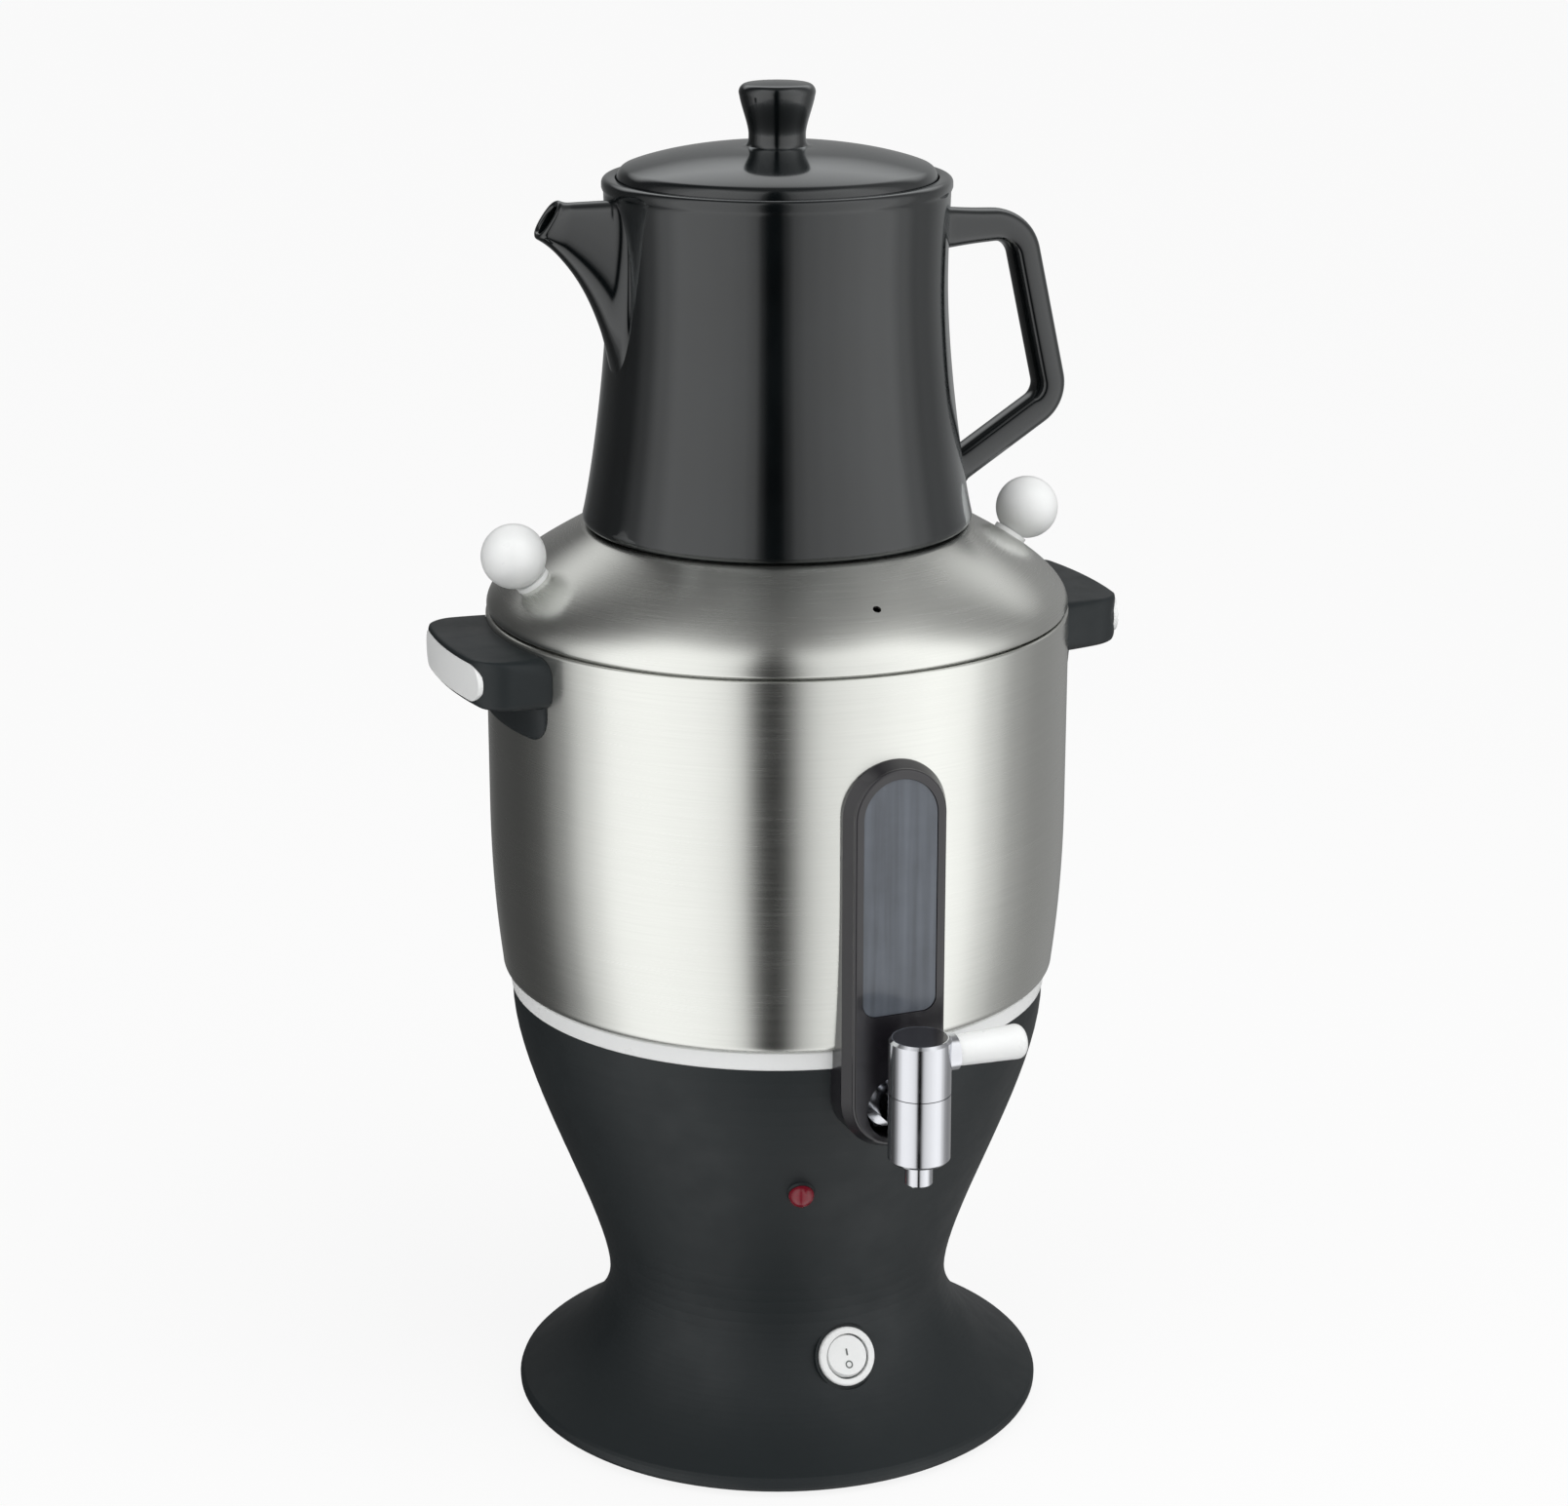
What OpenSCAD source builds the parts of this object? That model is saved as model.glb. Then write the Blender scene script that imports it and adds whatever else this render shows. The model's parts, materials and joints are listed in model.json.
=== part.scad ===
// Electric samovar: a water tank on a waisted pedestal, with a tap, a sight glass and a teapot on top.
// Z is up, the tap points along -Y and the teapot pours towards -X.
// The origin is on the table, in the middle of the box around the whole part.
// Every sub-part is drawn round the axis of the tank and then moved to that origin.

/* [Pedestal] */
// Outer radius of the foot
foot_r = 100; // [96:0.5:104]
// Roundness of the foot's lip
foot_lip_r = 3.2; // [3:0.1:4]
// Height of the lip above the table
table_gap = 1; // [0.8:0.1:1.6]
// Radius of the waist
waist_r = 64.5; // [62:0.5:68]
// Height of the waist above the table
waist_z = 48; // [46:0.5:52]
// Outer radius of the bowl's rim
bowl_r = 99.5; // [97:0.5:100]
// Height of the bowl from waist to rim
bowl_h = 119; // [112:1:126]
// Wall of the pedestal moulding
shell_wall = 2.4; // [2:0.1:2.8]

/* [Tank] */
// Height of the white ring between bowl and tank
ring_h = 7; // [5:0.5:9]
// How far the tank stands out over the bowl's rim
tank_step = 7; // [6:0.5:8.5]
// Height of the tank from the ring to its rim
tank_h = 137.5; // [134:0.5:146]
// Sheet of the tank and its lid
tank_wall = 1; // [0.8:0.1:1.2]
// Height over which the shoulder curves in above the ring
shoulder_h = 60; // [50:1:70]
// Distance of the well inside the bowl from the bowl's rim
well_inset = 11.5; // [10:0.5:13]
// Depth of the well below the ring's top
well_depth = 44; // [42:0.5:46]
// Round corner at the bottom of the well
well_corner_r = 15; // [12:0.5:18]

/* [Tank lid] */
// Height of the domed lid above the tank's rim
dome_h = 30.2; // [26:0.2:36]
// Radius of the flat seat that carries the teapot
seat_r = 70.5; // [70.5:0.5:74]
// Radius of the steam opening under the teapot
steam_r = 48; // [40:0.5:51]
// Height of the collar round the steam opening
steam_collar_h = 2.5; // [2:0.1:3.2]
// Depth of the ring that centres the lid in the tank
lid_spigot_h = 7.5; // [5:0.5:9]
// Radius of the ball knobs
ball_r = 11.6; // [10:0.1:13]
// Height of a ball's centre over the dome
ball_lift = 12.3; // [11.8:0.1:13.5]
// Radius of the vent hole
vent_r = 1.5; // [1:0.1:2]

/* [Sight glass] */
// Half width of the bezel where it meets the tank
bezel_half_w = 19.5; // [18.8:0.1:20.5]
// Half width of the bezel's front face
bezel_face_half_w = 17.4; // [16.8:0.1:18]
// How far the bezel stands out from the tank
bezel_proud = 6; // [5.6:0.1:7]
// Drop of the bezel's top below the tank's rim
bezel_drop = 30; // [28:0.5:40]
// Drop of the bezel's lower end below the ring's top
bezel_reach = 35.5; // [34:0.5:38]
// Half width of the window
window_half_w = 14; // [12.5:0.1:14.2]
// Height of the window's lower edge above the ring's top
window_lift = 16; // [12:0.5:30]
// Half width of the slot in the tank behind the window
slot_half_w = 9; // [7:0.5:9.5]

/* [Tap] */
// Distance of the tap's upright axis from its seat on the bowl
tap_out = 30; // [28:0.5:36]
// Drop of the tap's stem below the ring's top
tap_drop = 19; // [18.8:0.1:19.6]
// Radius of the tap's upright barrel
tap_r = 11; // [10:0.1:11.5]
// Height of the fixed lower half of the barrel
tap_lower_h = 25; // [24:0.5:28]
// Height of the turning upper half of the barrel
tap_upper_h = 20.1; // [19.5:0.1:22]
// Outer radius of the nozzle
nozzle_r = 4.9; // [4.6:0.1:5.4]
// Length of the nozzle
nozzle_h = 9.3; // [7:0.1:12]
// Radius of the stem
stem_r = 6.5; // [6:0.1:6.6]
// Bore for the water
water_r = 3.2; // [2.8:0.1:3.4]
// Radius of the turning plug
plug_r = 6; // [5.4:0.1:6.4]
// Length of the lever from the barrel's axis
lever_reach = 39.5; // [34:0.5:44]
// Radius of the lever at its root
lever_root_r = 5.4; // [4.8:0.1:5.6]
// Radius of the lever at its end
lever_end_r = 6.2; // [5.6:0.1:6.6]

/* [Side handles] */
// How far the handle stands out from the tank
handle_out = 21; // [19:0.5:26]
// Half width of the handle's outer face
handle_half_w = 34; // [33:0.5:36]
// Thickness of the handle at its outer face
handle_h = 17; // [16:0.5:20]
// Drop of the handle's top below the tank's rim
handle_drop = 2.5; // [2:0.5:8]
// Depth of the finger recess under the handle
grip_depth = 13; // [11:0.5:13.5]

/* [Teapot] */
// Radius of the teapot's waist
pot_waist_r = 60.9; // [60:0.1:62]
// How far the teapot's foot stands out over its waist
pot_foot_out = 9.8; // [9:0.1:11]
// How far the teapot's rim stands out over its waist
pot_rim_out = 1.4; // [1.2:0.1:2.4]
// Height of the teapot from foot to rim
pot_h = 124.7; // [116:0.1:132]
// Wall of the teapot
pot_wall = 4.5; // [4:0.1:5]
// Thickness of the teapot's floor
pot_floor = 4.7; // [4:0.1:6]
// Depth of the recess under the teapot
pot_recess_h = 4; // [3.8:0.1:5]
// Reach of the spout's lower lip beyond the waist
spout_out = 28.5; // [25:0.5:33]
// Wall of the spout
spout_wall = 2.2; // [2:0.1:2.4]
// Reach of the handle's upper corner beyond the waist
pot_handle_top_out = 33.9; // [32:0.1:37]
// Reach of the handle's lower corner beyond the waist
pot_handle_low_out = 48.9; // [46:0.1:53]
// Thickness of the handle's band
pot_handle_t = 11; // [10:0.2:12]
// Width of the handle's band
pot_handle_w = 13; // [11:0.2:15]
// Height of the lid's dome above the rim
pot_lid_rise = 13.8; // [12:0.2:16]
// Height of the lid's knob
pot_knob_h = 19.2; // [17:0.2:22]
// Radius of the knob at its widest
pot_knob_r = 13.6; // [12.5:0.1:15]

/* [Lamp and switch] */
// Radius of the lamp's red lens
lens_r = 3.8; // [3.4:0.1:4]
// Radius of the lamp's black surround
lamp_flange_r = 5.2; // [5:0.1:6]
// Radius of the switch's white bezel
switch_flange_r = 10.9; // [10.8:0.1:11.4]
// Radius of the rocker
rocker_r = 8.1; // [7.8:0.1:8.2]
// Angle that the rocker rests at on either side of level
rocker_tilt = 8; // [6:0.5:9]

/* [Hidden] */

// Smoothness of round forms, of large ones that small pieces lie against, of curved outlines,
// of their round corners and of a loft's sections
round_steps = 72;
fine_steps = 4 * round_steps;
curve_steps = 20;
arc_steps = 6;
section_steps = 24;
$fn = round_steps;
hex_sides = 6;

// Overrun of every cut
over = 1;
// Clearances: pieces that lift off, pieces laid or pushed together, and shafts and threads
lift_gap = 0.3;
fit_gap = 0.1;
shaft_gap = 0.05;

black_plastic = [0.13, 0.14, 0.15];
white_plastic = [0.93, 0.93, 0.92];
steel = [0.72, 0.72, 0.70];
chrome = [0.82, 0.83, 0.85];
glaze = [0.03, 0.03, 0.035];
rubber = [0.08, 0.08, 0.08];
silicone = [0.75, 0.75, 0.72];
brass = [0.78, 0.62, 0.30];
aluminium = [0.80, 0.80, 0.82];
porcelain = [0.92, 0.90, 0.85];
lens_red = [0.65, 0.05, 0.08];
smoked = [0.30, 0.33, 0.37, 0.6];

// Radii of the tank and of its well
tank_r = bowl_r + tank_step;
well_r = bowl_r - well_inset;

// Reaches of the teapot's foot, rim, spout and handle from its axis
pot_foot_r = pot_waist_r + pot_foot_out;
pot_rim_r = pot_waist_r + pot_rim_out;
spout_reach = pot_waist_r + spout_out;
pot_handle_top_reach = pot_waist_r + pot_handle_top_out;
pot_handle_low_reach = pot_waist_r + pot_handle_low_out;

// Heights of the seats, from the table up
ring_z = waist_z + bowl_h;
ring_top_z = ring_z + ring_h;
well_z = ring_top_z - well_depth;
tank_rim_z = ring_top_z + tank_h;
lid_z = tank_rim_z + lift_gap;
seat_z = lid_z + dome_h;
pot_z = seat_z + lift_gap;
pot_rim_z = pot_z + pot_h;

// Curve with four control points: a point on it, its direction there, and a row of its points
function bez(p, t) = pow(1 - t, 3) * p[0] + 3 * pow(1 - t, 2) * t * p[1]
    + 3 * (1 - t) * pow(t, 2) * p[2] + pow(t, 3) * p[3];
function bez_dir(p, t) = pow(1 - t, 2) * (p[1] - p[0]) + 2 * (1 - t) * t * (p[2] - p[1])
    + pow(t, 2) * (p[3] - p[2]);
function curve(p) = [for (i = [0 : curve_steps]) bez(p, i / curve_steps)];

function arc(centre, r, from, to) = [
    for (i = [0 : arc_steps])
        let (a = from + (to - from) * i / arc_steps) centre + r * [cos(a), sin(a)]
];
function end_of(list) = list[len(list) - 1];
function tail(list) = [for (i = [1 : len(list) - 1]) list[i]];
function reversed(list) = [for (i = [len(list) - 1 : -1 : 0]) list[i]];

// Left normals of a path's stretches, and the path moved to its left by w
function normals(path) = [
    for (i = [0 : len(path) - 2])
        let (d = path[i + 1] - path[i]) [-d.y, d.x] / norm(d)
];
function moved(path, w) =
    let (n = normals(path), last = len(path) - 1)
    [for (i = [0 : last])
        let (a = n[max(i - 1, 0)], b = n[min(i, last - 1)])
            path[i] + w * (a + b) / (1 + a * b)];

// Path whose inner corners are rounded, each by its own radius, and one such corner
function rounded(path, radii) = [
    for (i = [0 : len(path) - 1])
        each (i == 0 || i == len(path) - 1
            ? [path[i]]
            : corner(path[i - 1], path[i], path[i + 1], radii[i - 1]))
];
function corner(a, b, c, r) =
    let (
        u = (a - b) / norm(a - b),
        v = (c - b) / norm(c - b),
        half = acos(u * v) / 2,
        centre = b + (u + v) / norm(u + v) * r / sin(half),
        start = b + u * r / tan(half) - centre,
        way = u.x * v.y - u.y * v.x > 0 ? -1 : 1
    )
    [for (i = [0 : arc_steps])
        let (t = way * (180 - 2 * half) * i / arc_steps)
            centre + [start.x * cos(t) - start.y * sin(t), start.x * sin(t) + start.y * cos(t)]];

// List of points, none above a height
function capped(list, z) = [for (p = list) [p.x, min(p.y, z)]];

// Solid turned from a closed outline, and a turned sheet whose outer face follows a path
module turned(outline, steps = round_steps) {
    rotate_extrude($fn = steps) polygon(outline);
}
module sheet(path, wall) {
    turned(concat(path, reversed(moved(path, wall))));
}

// Puts its children on a turned surface, at a share of its curve, with Z along the outward normal
module on_surface(points, share, turn = 0) {
    place = bez(points, share);
    along = bez_dir(points, share);
    rotate([0, 0, turn])
        translate([0, -place.x, place.y])
            rotate([90 - atan2(-along.x, along.y), 0, 0]) children();
}

// Moves a sub-part from the axis of the tank to the origin
module placed() {
    translate([0, (tap_reach + tap_r - tank_r) / 2, 0]) children();
}

// Cylinder along Y on the front, between two distances from the axis
module front_cylinder(r, near, far, z, sides = round_steps) {
    translate([0, -near, z]) rotate([90, 0, 0]) cylinder(r = r, h = far - near, $fn = sides);
}

// Prism towards the front, between two distances from the axis, of an outline drawn in X and Z
module front_prism(near, far) {
    translate([0, -near, 0]) rotate([90, 0, 0]) linear_extrude(far - near) children();
}

// Section of a loft across the plane of X and Z, and the loft through a row of sections
function softened(v, share) = sign(v) * pow(abs(v), share);
function section(centre, up, half_t, half_w, share) = [
    for (i = [0 : section_steps - 1])
        let (
            a = 360 * i / section_steps,
            p = centre + half_t * softened(cos(a), share) * up
        )
        [p.x, half_w * softened(sin(a), share), p.y]
];
module loft(sections) {
    n = section_steps;
    last = len(sections) - 1;
    sides = [
        for (k = [0 : last - 1], i = [0 : n - 1])
            let (a = k * n + i, b = k * n + (i + 1) % n)
                each [[a, b, a + n], [b, b + n, a + n]]
    ];
    ends = [reversed([for (i = [0 : n - 1]) i]), [for (i = [0 : n - 1]) last * n + i]];
    polyhedron([for (s = sections) each s], concat(sides, ends));
}

// Pedestal: a round lip, a flare up to the waist and a bowl
lip_angle = 57;
lip_centre = [foot_r - foot_lip_r, table_gap + foot_lip_r];
flare_start = lip_centre + foot_lip_r * [cos(lip_angle), sin(lip_angle)];
flare_h = waist_z - flare_start.y;
flare_lip_share = 0.426;
flare_waist_share = 0.454;
flare = [
    flare_start,
    flare_start + flare_lip_share * flare_h * [-sin(lip_angle), cos(lip_angle)],
    [waist_r, waist_z - flare_waist_share * flare_h],
    [waist_r, waist_z]
];
bowl_waist_share = 0.223;
bowl_rim_share = 0.279;
bowl_bulge_share = 0.012;
bowl = [
    [waist_r, waist_z],
    [waist_r, waist_z + bowl_waist_share * bowl_h],
    [bowl_r + bowl_bulge_share * bowl_r, ring_z - bowl_rim_share * bowl_h],
    [bowl_r, ring_z]
];
pedestal_path = concat(
    arc(lip_centre, foot_lip_r, -90, lip_angle),
    tail(curve(flare)),
    tail(curve(bowl))
);

// Base plate with its feet on the diagonals and its screws beside the X axis
plate_sunk = 1.6;
plate_t = 2;
plate_rim_gap = 0.8;
plate_z = table_gap + plate_sunk;
plate_top_z = plate_z + plate_t;
plate_r = foot_r - foot_lip_r - plate_rim_gap;
boss_r = 4;
boss_reach = 74;
boss_angle = 24;
base_screw_r = 1.7;
base_screw_head_r = 3.4;
base_screw_head_h = 1.6;
base_screw_depth = 10;
foot_count = 4;
foot_reach = 80;
foot_pad_r = 8;
foot_pad_edge = 0.6;
foot_plug_r = 3;
foot_barb_r = 3.8;
foot_barb_h = 2;
vent_count = 16;
vent_from_r = 30;
vent_to_r = 56;
vent_half_w = 2;

// Lugs inside the waist and the tie that pulls the tank down on them
lug_reach = 54;
lug_half_w = 8;
lug_h = 6;
lug_drop = 8;
lug_z = waist_z - lug_drop;
bridge_t = 3;
bridge_reach = 61;
bridge_z = lug_z - bridge_t;
stud_r = 3;
nut_r = 5.8;
nut_h = 5;
nut_z = bridge_z - nut_h;
stud_tail = 3;

// Rubber bush for the cord, in a flat boss at the back of the foot
bush_z = 14;
bush_y = 84;
bush_wall = 3;
bush_r = 5.5;
bush_bore_r = 3.75;
bush_flange_r = 7.5;
bush_flange_t = 2.5;
bush_edge = 1.2;
bush_scoop_r = 8.6;
bush_boss_r = 11;
bush_boss_y = bush_y - bush_wall - bush_flange_t;

// Seats for the tap, the switch and the lamp
pad_proud = 0.5;
pad_depth_share = 0.117;
pad_r = 11.4;
pad_back = bowl_r - shell_wall - pad_depth_share * (bowl_r - waist_r);
pad_face = bowl_r + pad_proud;
tap_reach = pad_face + tap_out;
lamp_share = 0.57;
lamp_turn = -16.6;
switch_share = 0.807;
switch_pad_r = 12.2;
switch_pad_h = 0.9;
switch_pad_root = 4;

// Cylinder towards the back, between two distances from the axis, at the height of the bush
module back_cylinder(r, near, far) {
    translate([0, near, bush_z]) rotate([-90, 0, 0]) cylinder(r = r, h = far - near);
}

module base_screw_places() {
    for (side = [0, 180], a = [-boss_angle, boss_angle])
        rotate([0, 0, side + a]) translate([boss_reach, 0, 0]) children();
}
module foot_places() {
    for (i = [0 : foot_count - 1])
        rotate([0, 0, (i + 1 / 2) * 360 / foot_count]) translate([foot_reach, 0, 0]) children();
}

module pedestal() color(black_plastic) placed() difference() {
    union() {
        turned(concat(pedestal_path, reversed(capped(moved(pedestal_path, shell_wall), ring_z))));
        intersection() {
            turned(concat([[0, table_gap]], moved(pedestal_path, shell_wall / 2), [[0, ring_z]]));
            union() {
                base_screw_places() translate([0, 0, table_gap]) cylinder(r = boss_r, h = waist_z);
                for (side = [0, 180])
                    rotate([0, 0, side])
                        translate([lug_reach, -lug_half_w, lug_z]) cube([waist_r, 2 * lug_half_w, lug_h]);
                back_cylinder(bush_boss_r, bush_boss_y, foot_r);
            }
        }
        back_cylinder(bush_boss_r, bush_boss_y, bush_y);
        on_surface(flare, switch_share)
            translate([0, 0, -switch_pad_root])
                cylinder(r = switch_pad_r, h = switch_pad_root + switch_pad_h);
        front_cylinder(pad_r, pad_back, pad_face, stem_z);
    }
    translate([0, 0, -over]) cylinder(r = plate_r, h = plate_top_z + over);
    base_screw_places()
        translate([0, 0, plate_z])
            cylinder(r = base_screw_r + shaft_gap, h = base_screw_depth + over);
    on_surface(flare, switch_share) {
        translate([0, 0, -switch_depth]) cylinder(r = switch_body_r + fit_gap, h = 2 * switch_depth);
        translate([0, 0, switch_pad_h]) cylinder(r = switch_pad_r + fit_gap, h = switch_depth);
    }
    on_surface(bowl, lamp_share, lamp_turn)
        translate([0, 0, -lamp_depth]) cylinder(r = lamp_body_r + fit_gap, h = 2 * lamp_depth);
    front_cylinder(stem_r + fit_gap, pad_back - over, pad_face + over, stem_z);
    back_cylinder(bush_scoop_r, bush_y, foot_r);
    back_cylinder(bush_scoop_r, bush_boss_y - over, bush_y - bush_wall);
    back_cylinder(bush_r + fit_gap, bush_boss_y, bush_y + over);
}

module base_plate() color(black_plastic) placed() translate([0, 0, plate_z]) difference() {
    cylinder(r = plate_r - fit_gap, h = plate_t);
    translate([0, 0, -over]) {
        base_screw_places() cylinder(r = base_screw_r + fit_gap, h = plate_t + 2 * over);
        foot_places() cylinder(r = foot_plug_r + fit_gap, h = plate_t + 2 * over);
        for (i = [0 : vent_count - 1])
            rotate([0, 0, i * 360 / vent_count])
                linear_extrude(plate_t + 2 * over) {
                    translate([vent_from_r, -vent_half_w]) square([vent_to_r - vent_from_r, 2 * vent_half_w]);
                    translate([vent_from_r, 0]) circle(vent_half_w);
                    translate([vent_to_r, 0]) circle(vent_half_w);
                }
    }
}

module rubber_feet() color(rubber) placed() foot_places()
    turned([
        [0, 0],
        [foot_pad_r - foot_pad_edge, 0],
        [foot_pad_r, foot_pad_edge],
        [foot_pad_r, plate_z],
        [foot_plug_r, plate_z],
        [foot_plug_r, plate_top_z + fit_gap],
        [foot_barb_r, plate_top_z + fit_gap],
        [foot_plug_r, plate_top_z + foot_barb_h],
        [0, plate_top_z + foot_barb_h]
    ]);

// Screw along Z with a cheese head below zero and a blunt tip
module screw(r, head_r, head_h, depth) {
    turned([
        [0, -head_h],
        [head_r - head_h / 2, -head_h],
        [head_r, -head_h / 2],
        [head_r, 0],
        [r, 0],
        [r, depth - r],
        [r / 2, depth],
        [0, depth]
    ]);
}

module base_screws() color(steel) placed() base_screw_places()
    translate([0, 0, plate_z]) screw(base_screw_r, base_screw_head_r, base_screw_head_h, base_screw_depth);

module cord_bush() color(rubber) placed() translate([0, bush_y, bush_z]) rotate([-90, 0, 0])
    turned([
        [bush_bore_r, -bush_wall - bush_flange_t],
        [bush_flange_r - bush_edge, -bush_wall - bush_flange_t],
        [bush_flange_r, bush_edge - bush_wall - bush_flange_t],
        [bush_flange_r, -bush_wall],
        [bush_r, -bush_wall],
        [bush_r, 0],
        [bush_flange_r, 0],
        [bush_flange_r, bush_flange_t - bush_edge],
        [bush_flange_r - bush_edge, bush_flange_t],
        [bush_bore_r, bush_flange_t]
    ]);

module tie_stud() color(steel) placed()
    translate([0, 0, nut_z - stud_tail]) cylinder(r = stud_r, h = well_z - nut_z + stud_tail);

module tie_bridge() color(steel) placed() difference() {
    translate([-bridge_reach, -lug_half_w, bridge_z]) cube([2 * bridge_reach, 2 * lug_half_w, bridge_t]);
    translate([0, 0, nut_z]) cylinder(r = stud_r + fit_gap, h = nut_h + bridge_t + over);
}

module tie_nut() color(steel) placed() translate([0, 0, nut_z]) difference() {
    cylinder(r = nut_r, h = nut_h, $fn = hex_sides);
    translate([0, 0, -over]) cylinder(r = stud_r + shaft_gap, h = nut_h + 2 * over);
}

// White ring between bowl and tank, with a spigot that drops into the bowl
ring_proud = 1.3;
ring_edge = 0.4;
ring_well_gap = 3;
ring_spigot_gap = 0.8;
ring_spigot_t = 2.6;
ring_spigot_h = 3.5;
ring_top_r = bowl_r + ring_proud;
ring_spigot_r = bowl_r - shell_wall - ring_spigot_gap;

module trim_ring() color(white_plastic) placed() difference() {
    turned([
        [well_r + ring_well_gap, ring_z - ring_spigot_h],
        [ring_spigot_r - ring_edge, ring_z - ring_spigot_h],
        [ring_spigot_r, ring_z - ring_spigot_h + ring_edge],
        [ring_spigot_r, ring_z],
        [bowl_r, ring_z],
        [bowl_r + ring_edge, ring_z + ring_edge],
        [ring_top_r, ring_top_z - ring_edge],
        [ring_top_r - ring_edge, ring_top_z],
        [well_r + ring_well_gap, ring_top_z]
    ]);
    front_cylinder(pad_r + lift_gap, well_r, pad_face, stem_z);
}

// Tank: a drawn well whose flange lies on the ring, welded to a shell with a curved shoulder and a beaded rim
shoulder_round = 3.4;
shoulder_in = 3.6;
shoulder_lean = 0.7;
shoulder_low_share = 0.11;
shoulder_high_share = 0.545;
seam_in = 1.5;
shoulder_r = tank_r - shoulder_in;
shoulder_z = ring_top_z + shoulder_round;
shoulder = [
    [shoulder_r, shoulder_z],
    [shoulder_r + shoulder_lean, shoulder_z + shoulder_low_share * shoulder_h],
    [tank_r, shoulder_z + shoulder_h - shoulder_high_share * shoulder_h],
    [tank_r, shoulder_z + shoulder_h]
];
bead_h = 2.6;
bead_in = 0.7;
tank_side_path = concat(
    arc([shoulder_r - shoulder_round, shoulder_z], shoulder_round, -90, 0),
    tail(curve(shoulder)),
    [
        [tank_r, tank_rim_z - bead_h],
        [tank_r - bead_in, tank_rim_z - bead_h / 2],
        [tank_r - bead_in, tank_rim_z]
    ]
);
well_path = concat(
    [[0, well_z]],
    arc([well_r - well_corner_r, well_z + well_corner_r], well_corner_r, -90, 0),
    [[well_r, ring_top_z]]
);
seam_r = shoulder_r - shoulder_round - seam_in;
well_in_r = well_r - tank_wall;
slot_lift = 6.5;

module tank() color(steel) placed() difference() {
    sheet(concat([[seam_r, ring_top_z]], tank_side_path), tank_wall);
    front_prism(well_r, bezel_front)
        window_outline(slot_half_w, window_z + slot_lift, window_top_c, window_round);
    handle_screw_places() cylinder(r = handle_screw_r + fit_gap, h = tank_r);
}

module tank_well() color(steel) placed() difference() {
    sheet(concat(well_path, [[seam_r, ring_top_z]]), tank_wall);
    front_cylinder(stem_r + fit_gap, 0, well_r + over, stem_z);
}

// Outside of bowl, ring and tank as one solid, grown by a gap, for what is laid against it
body_path = concat(curve(bowl), [[ring_top_r, ring_z], [ring_top_r, ring_top_z]], tail(tank_side_path));
module body_solid(gap) {
    grown = moved(body_path, -gap);
    turned(concat([[0, grown[0].y]], grown, [[0, end_of(grown).y]]), fine_steps);
}

// Heater under the well: a cast disc, a flattened tube, a thermostat and a fuse
disc_edge = 11;
disc_r = well_r - well_corner_r - disc_edge;
disc_t = 4;
disc_z = well_z - disc_t;
element_edge = 16;
element_r = disc_r - element_edge;
element_tube_r = 3.5;
element_flat = 0.5;
element_gap_angle = 40;
element_z = disc_z - element_tube_r + element_flat;
leg_r = 3.2;
leg_h = 14;
pin_r = 1.3;
pin_h = 7;
thermostat_reach = (stud_r + element_r - element_tube_r) / 2;
thermostat_r = 8;
thermostat_h = 7;
tab_t = 0.8;
tab_w = 4.8;
tab_h = 8;
tab_spread = 4;
fuse_r = 2.5;
fuse_length = 14;
clip_t = 1;
clip_w = 6;
clip_foot = 3.5;

module heating_disc() color(aluminium) placed() difference() {
    translate([0, 0, disc_z]) cylinder(r = disc_r, h = disc_t);
    translate([0, 0, disc_z - over]) cylinder(r = stud_r + fit_gap, h = disc_t + 2 * over);
}

module heating_element() color(steel) placed() {
    difference() {
        rotate([0, 0, 90 + element_gap_angle / 2])
            rotate_extrude(angle = 360 - element_gap_angle)
                translate([element_r, element_z]) circle(element_tube_r);
        translate([-disc_r, -disc_r, disc_z]) cube([2 * disc_r, 2 * disc_r, disc_t]);
    }
    for (side = [-1, 1])
        rotate([0, 0, 90 + side * element_gap_angle / 2])
            translate([element_r, 0, element_z - leg_h]) {
                cylinder(r = leg_r, h = leg_h);
                translate([0, 0, -pin_h]) cylinder(r = pin_r, h = pin_h + over);
            }
}

module thermostat() color(aluminium) placed() translate([thermostat_reach, 0, disc_z - thermostat_h]) {
    cylinder(r = thermostat_r, h = thermostat_h);
    for (side = [-1, 1])
        translate([-tab_t / 2, side * tab_spread - tab_w / 2, -tab_h]) cube([tab_t, tab_w, tab_h + over]);
}

module thermal_fuse() color(silicone) placed()
    translate([-thermostat_reach, 0, disc_z - clip_t - fuse_r]) rotate([90, 0, 0]) {
        translate([0, 0, -fuse_length / 2]) cylinder(r = fuse_r, h = fuse_length);
        translate([0, 0, -clip_w / 2])
            linear_extrude(clip_w) {
                circle(fuse_r + clip_t);
                translate([-fuse_r - clip_foot, fuse_r]) square([2 * (fuse_r + clip_foot), clip_t]);
            }
    }

// Terminal block on the base plate
block_size = [30, 16, 13];
block_y = 38;
block_poles = 3;
block_pitch = 9;
block_wire_r = 2.2;
block_wire_h = 5;
block_screw_r = 1.8;

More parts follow.
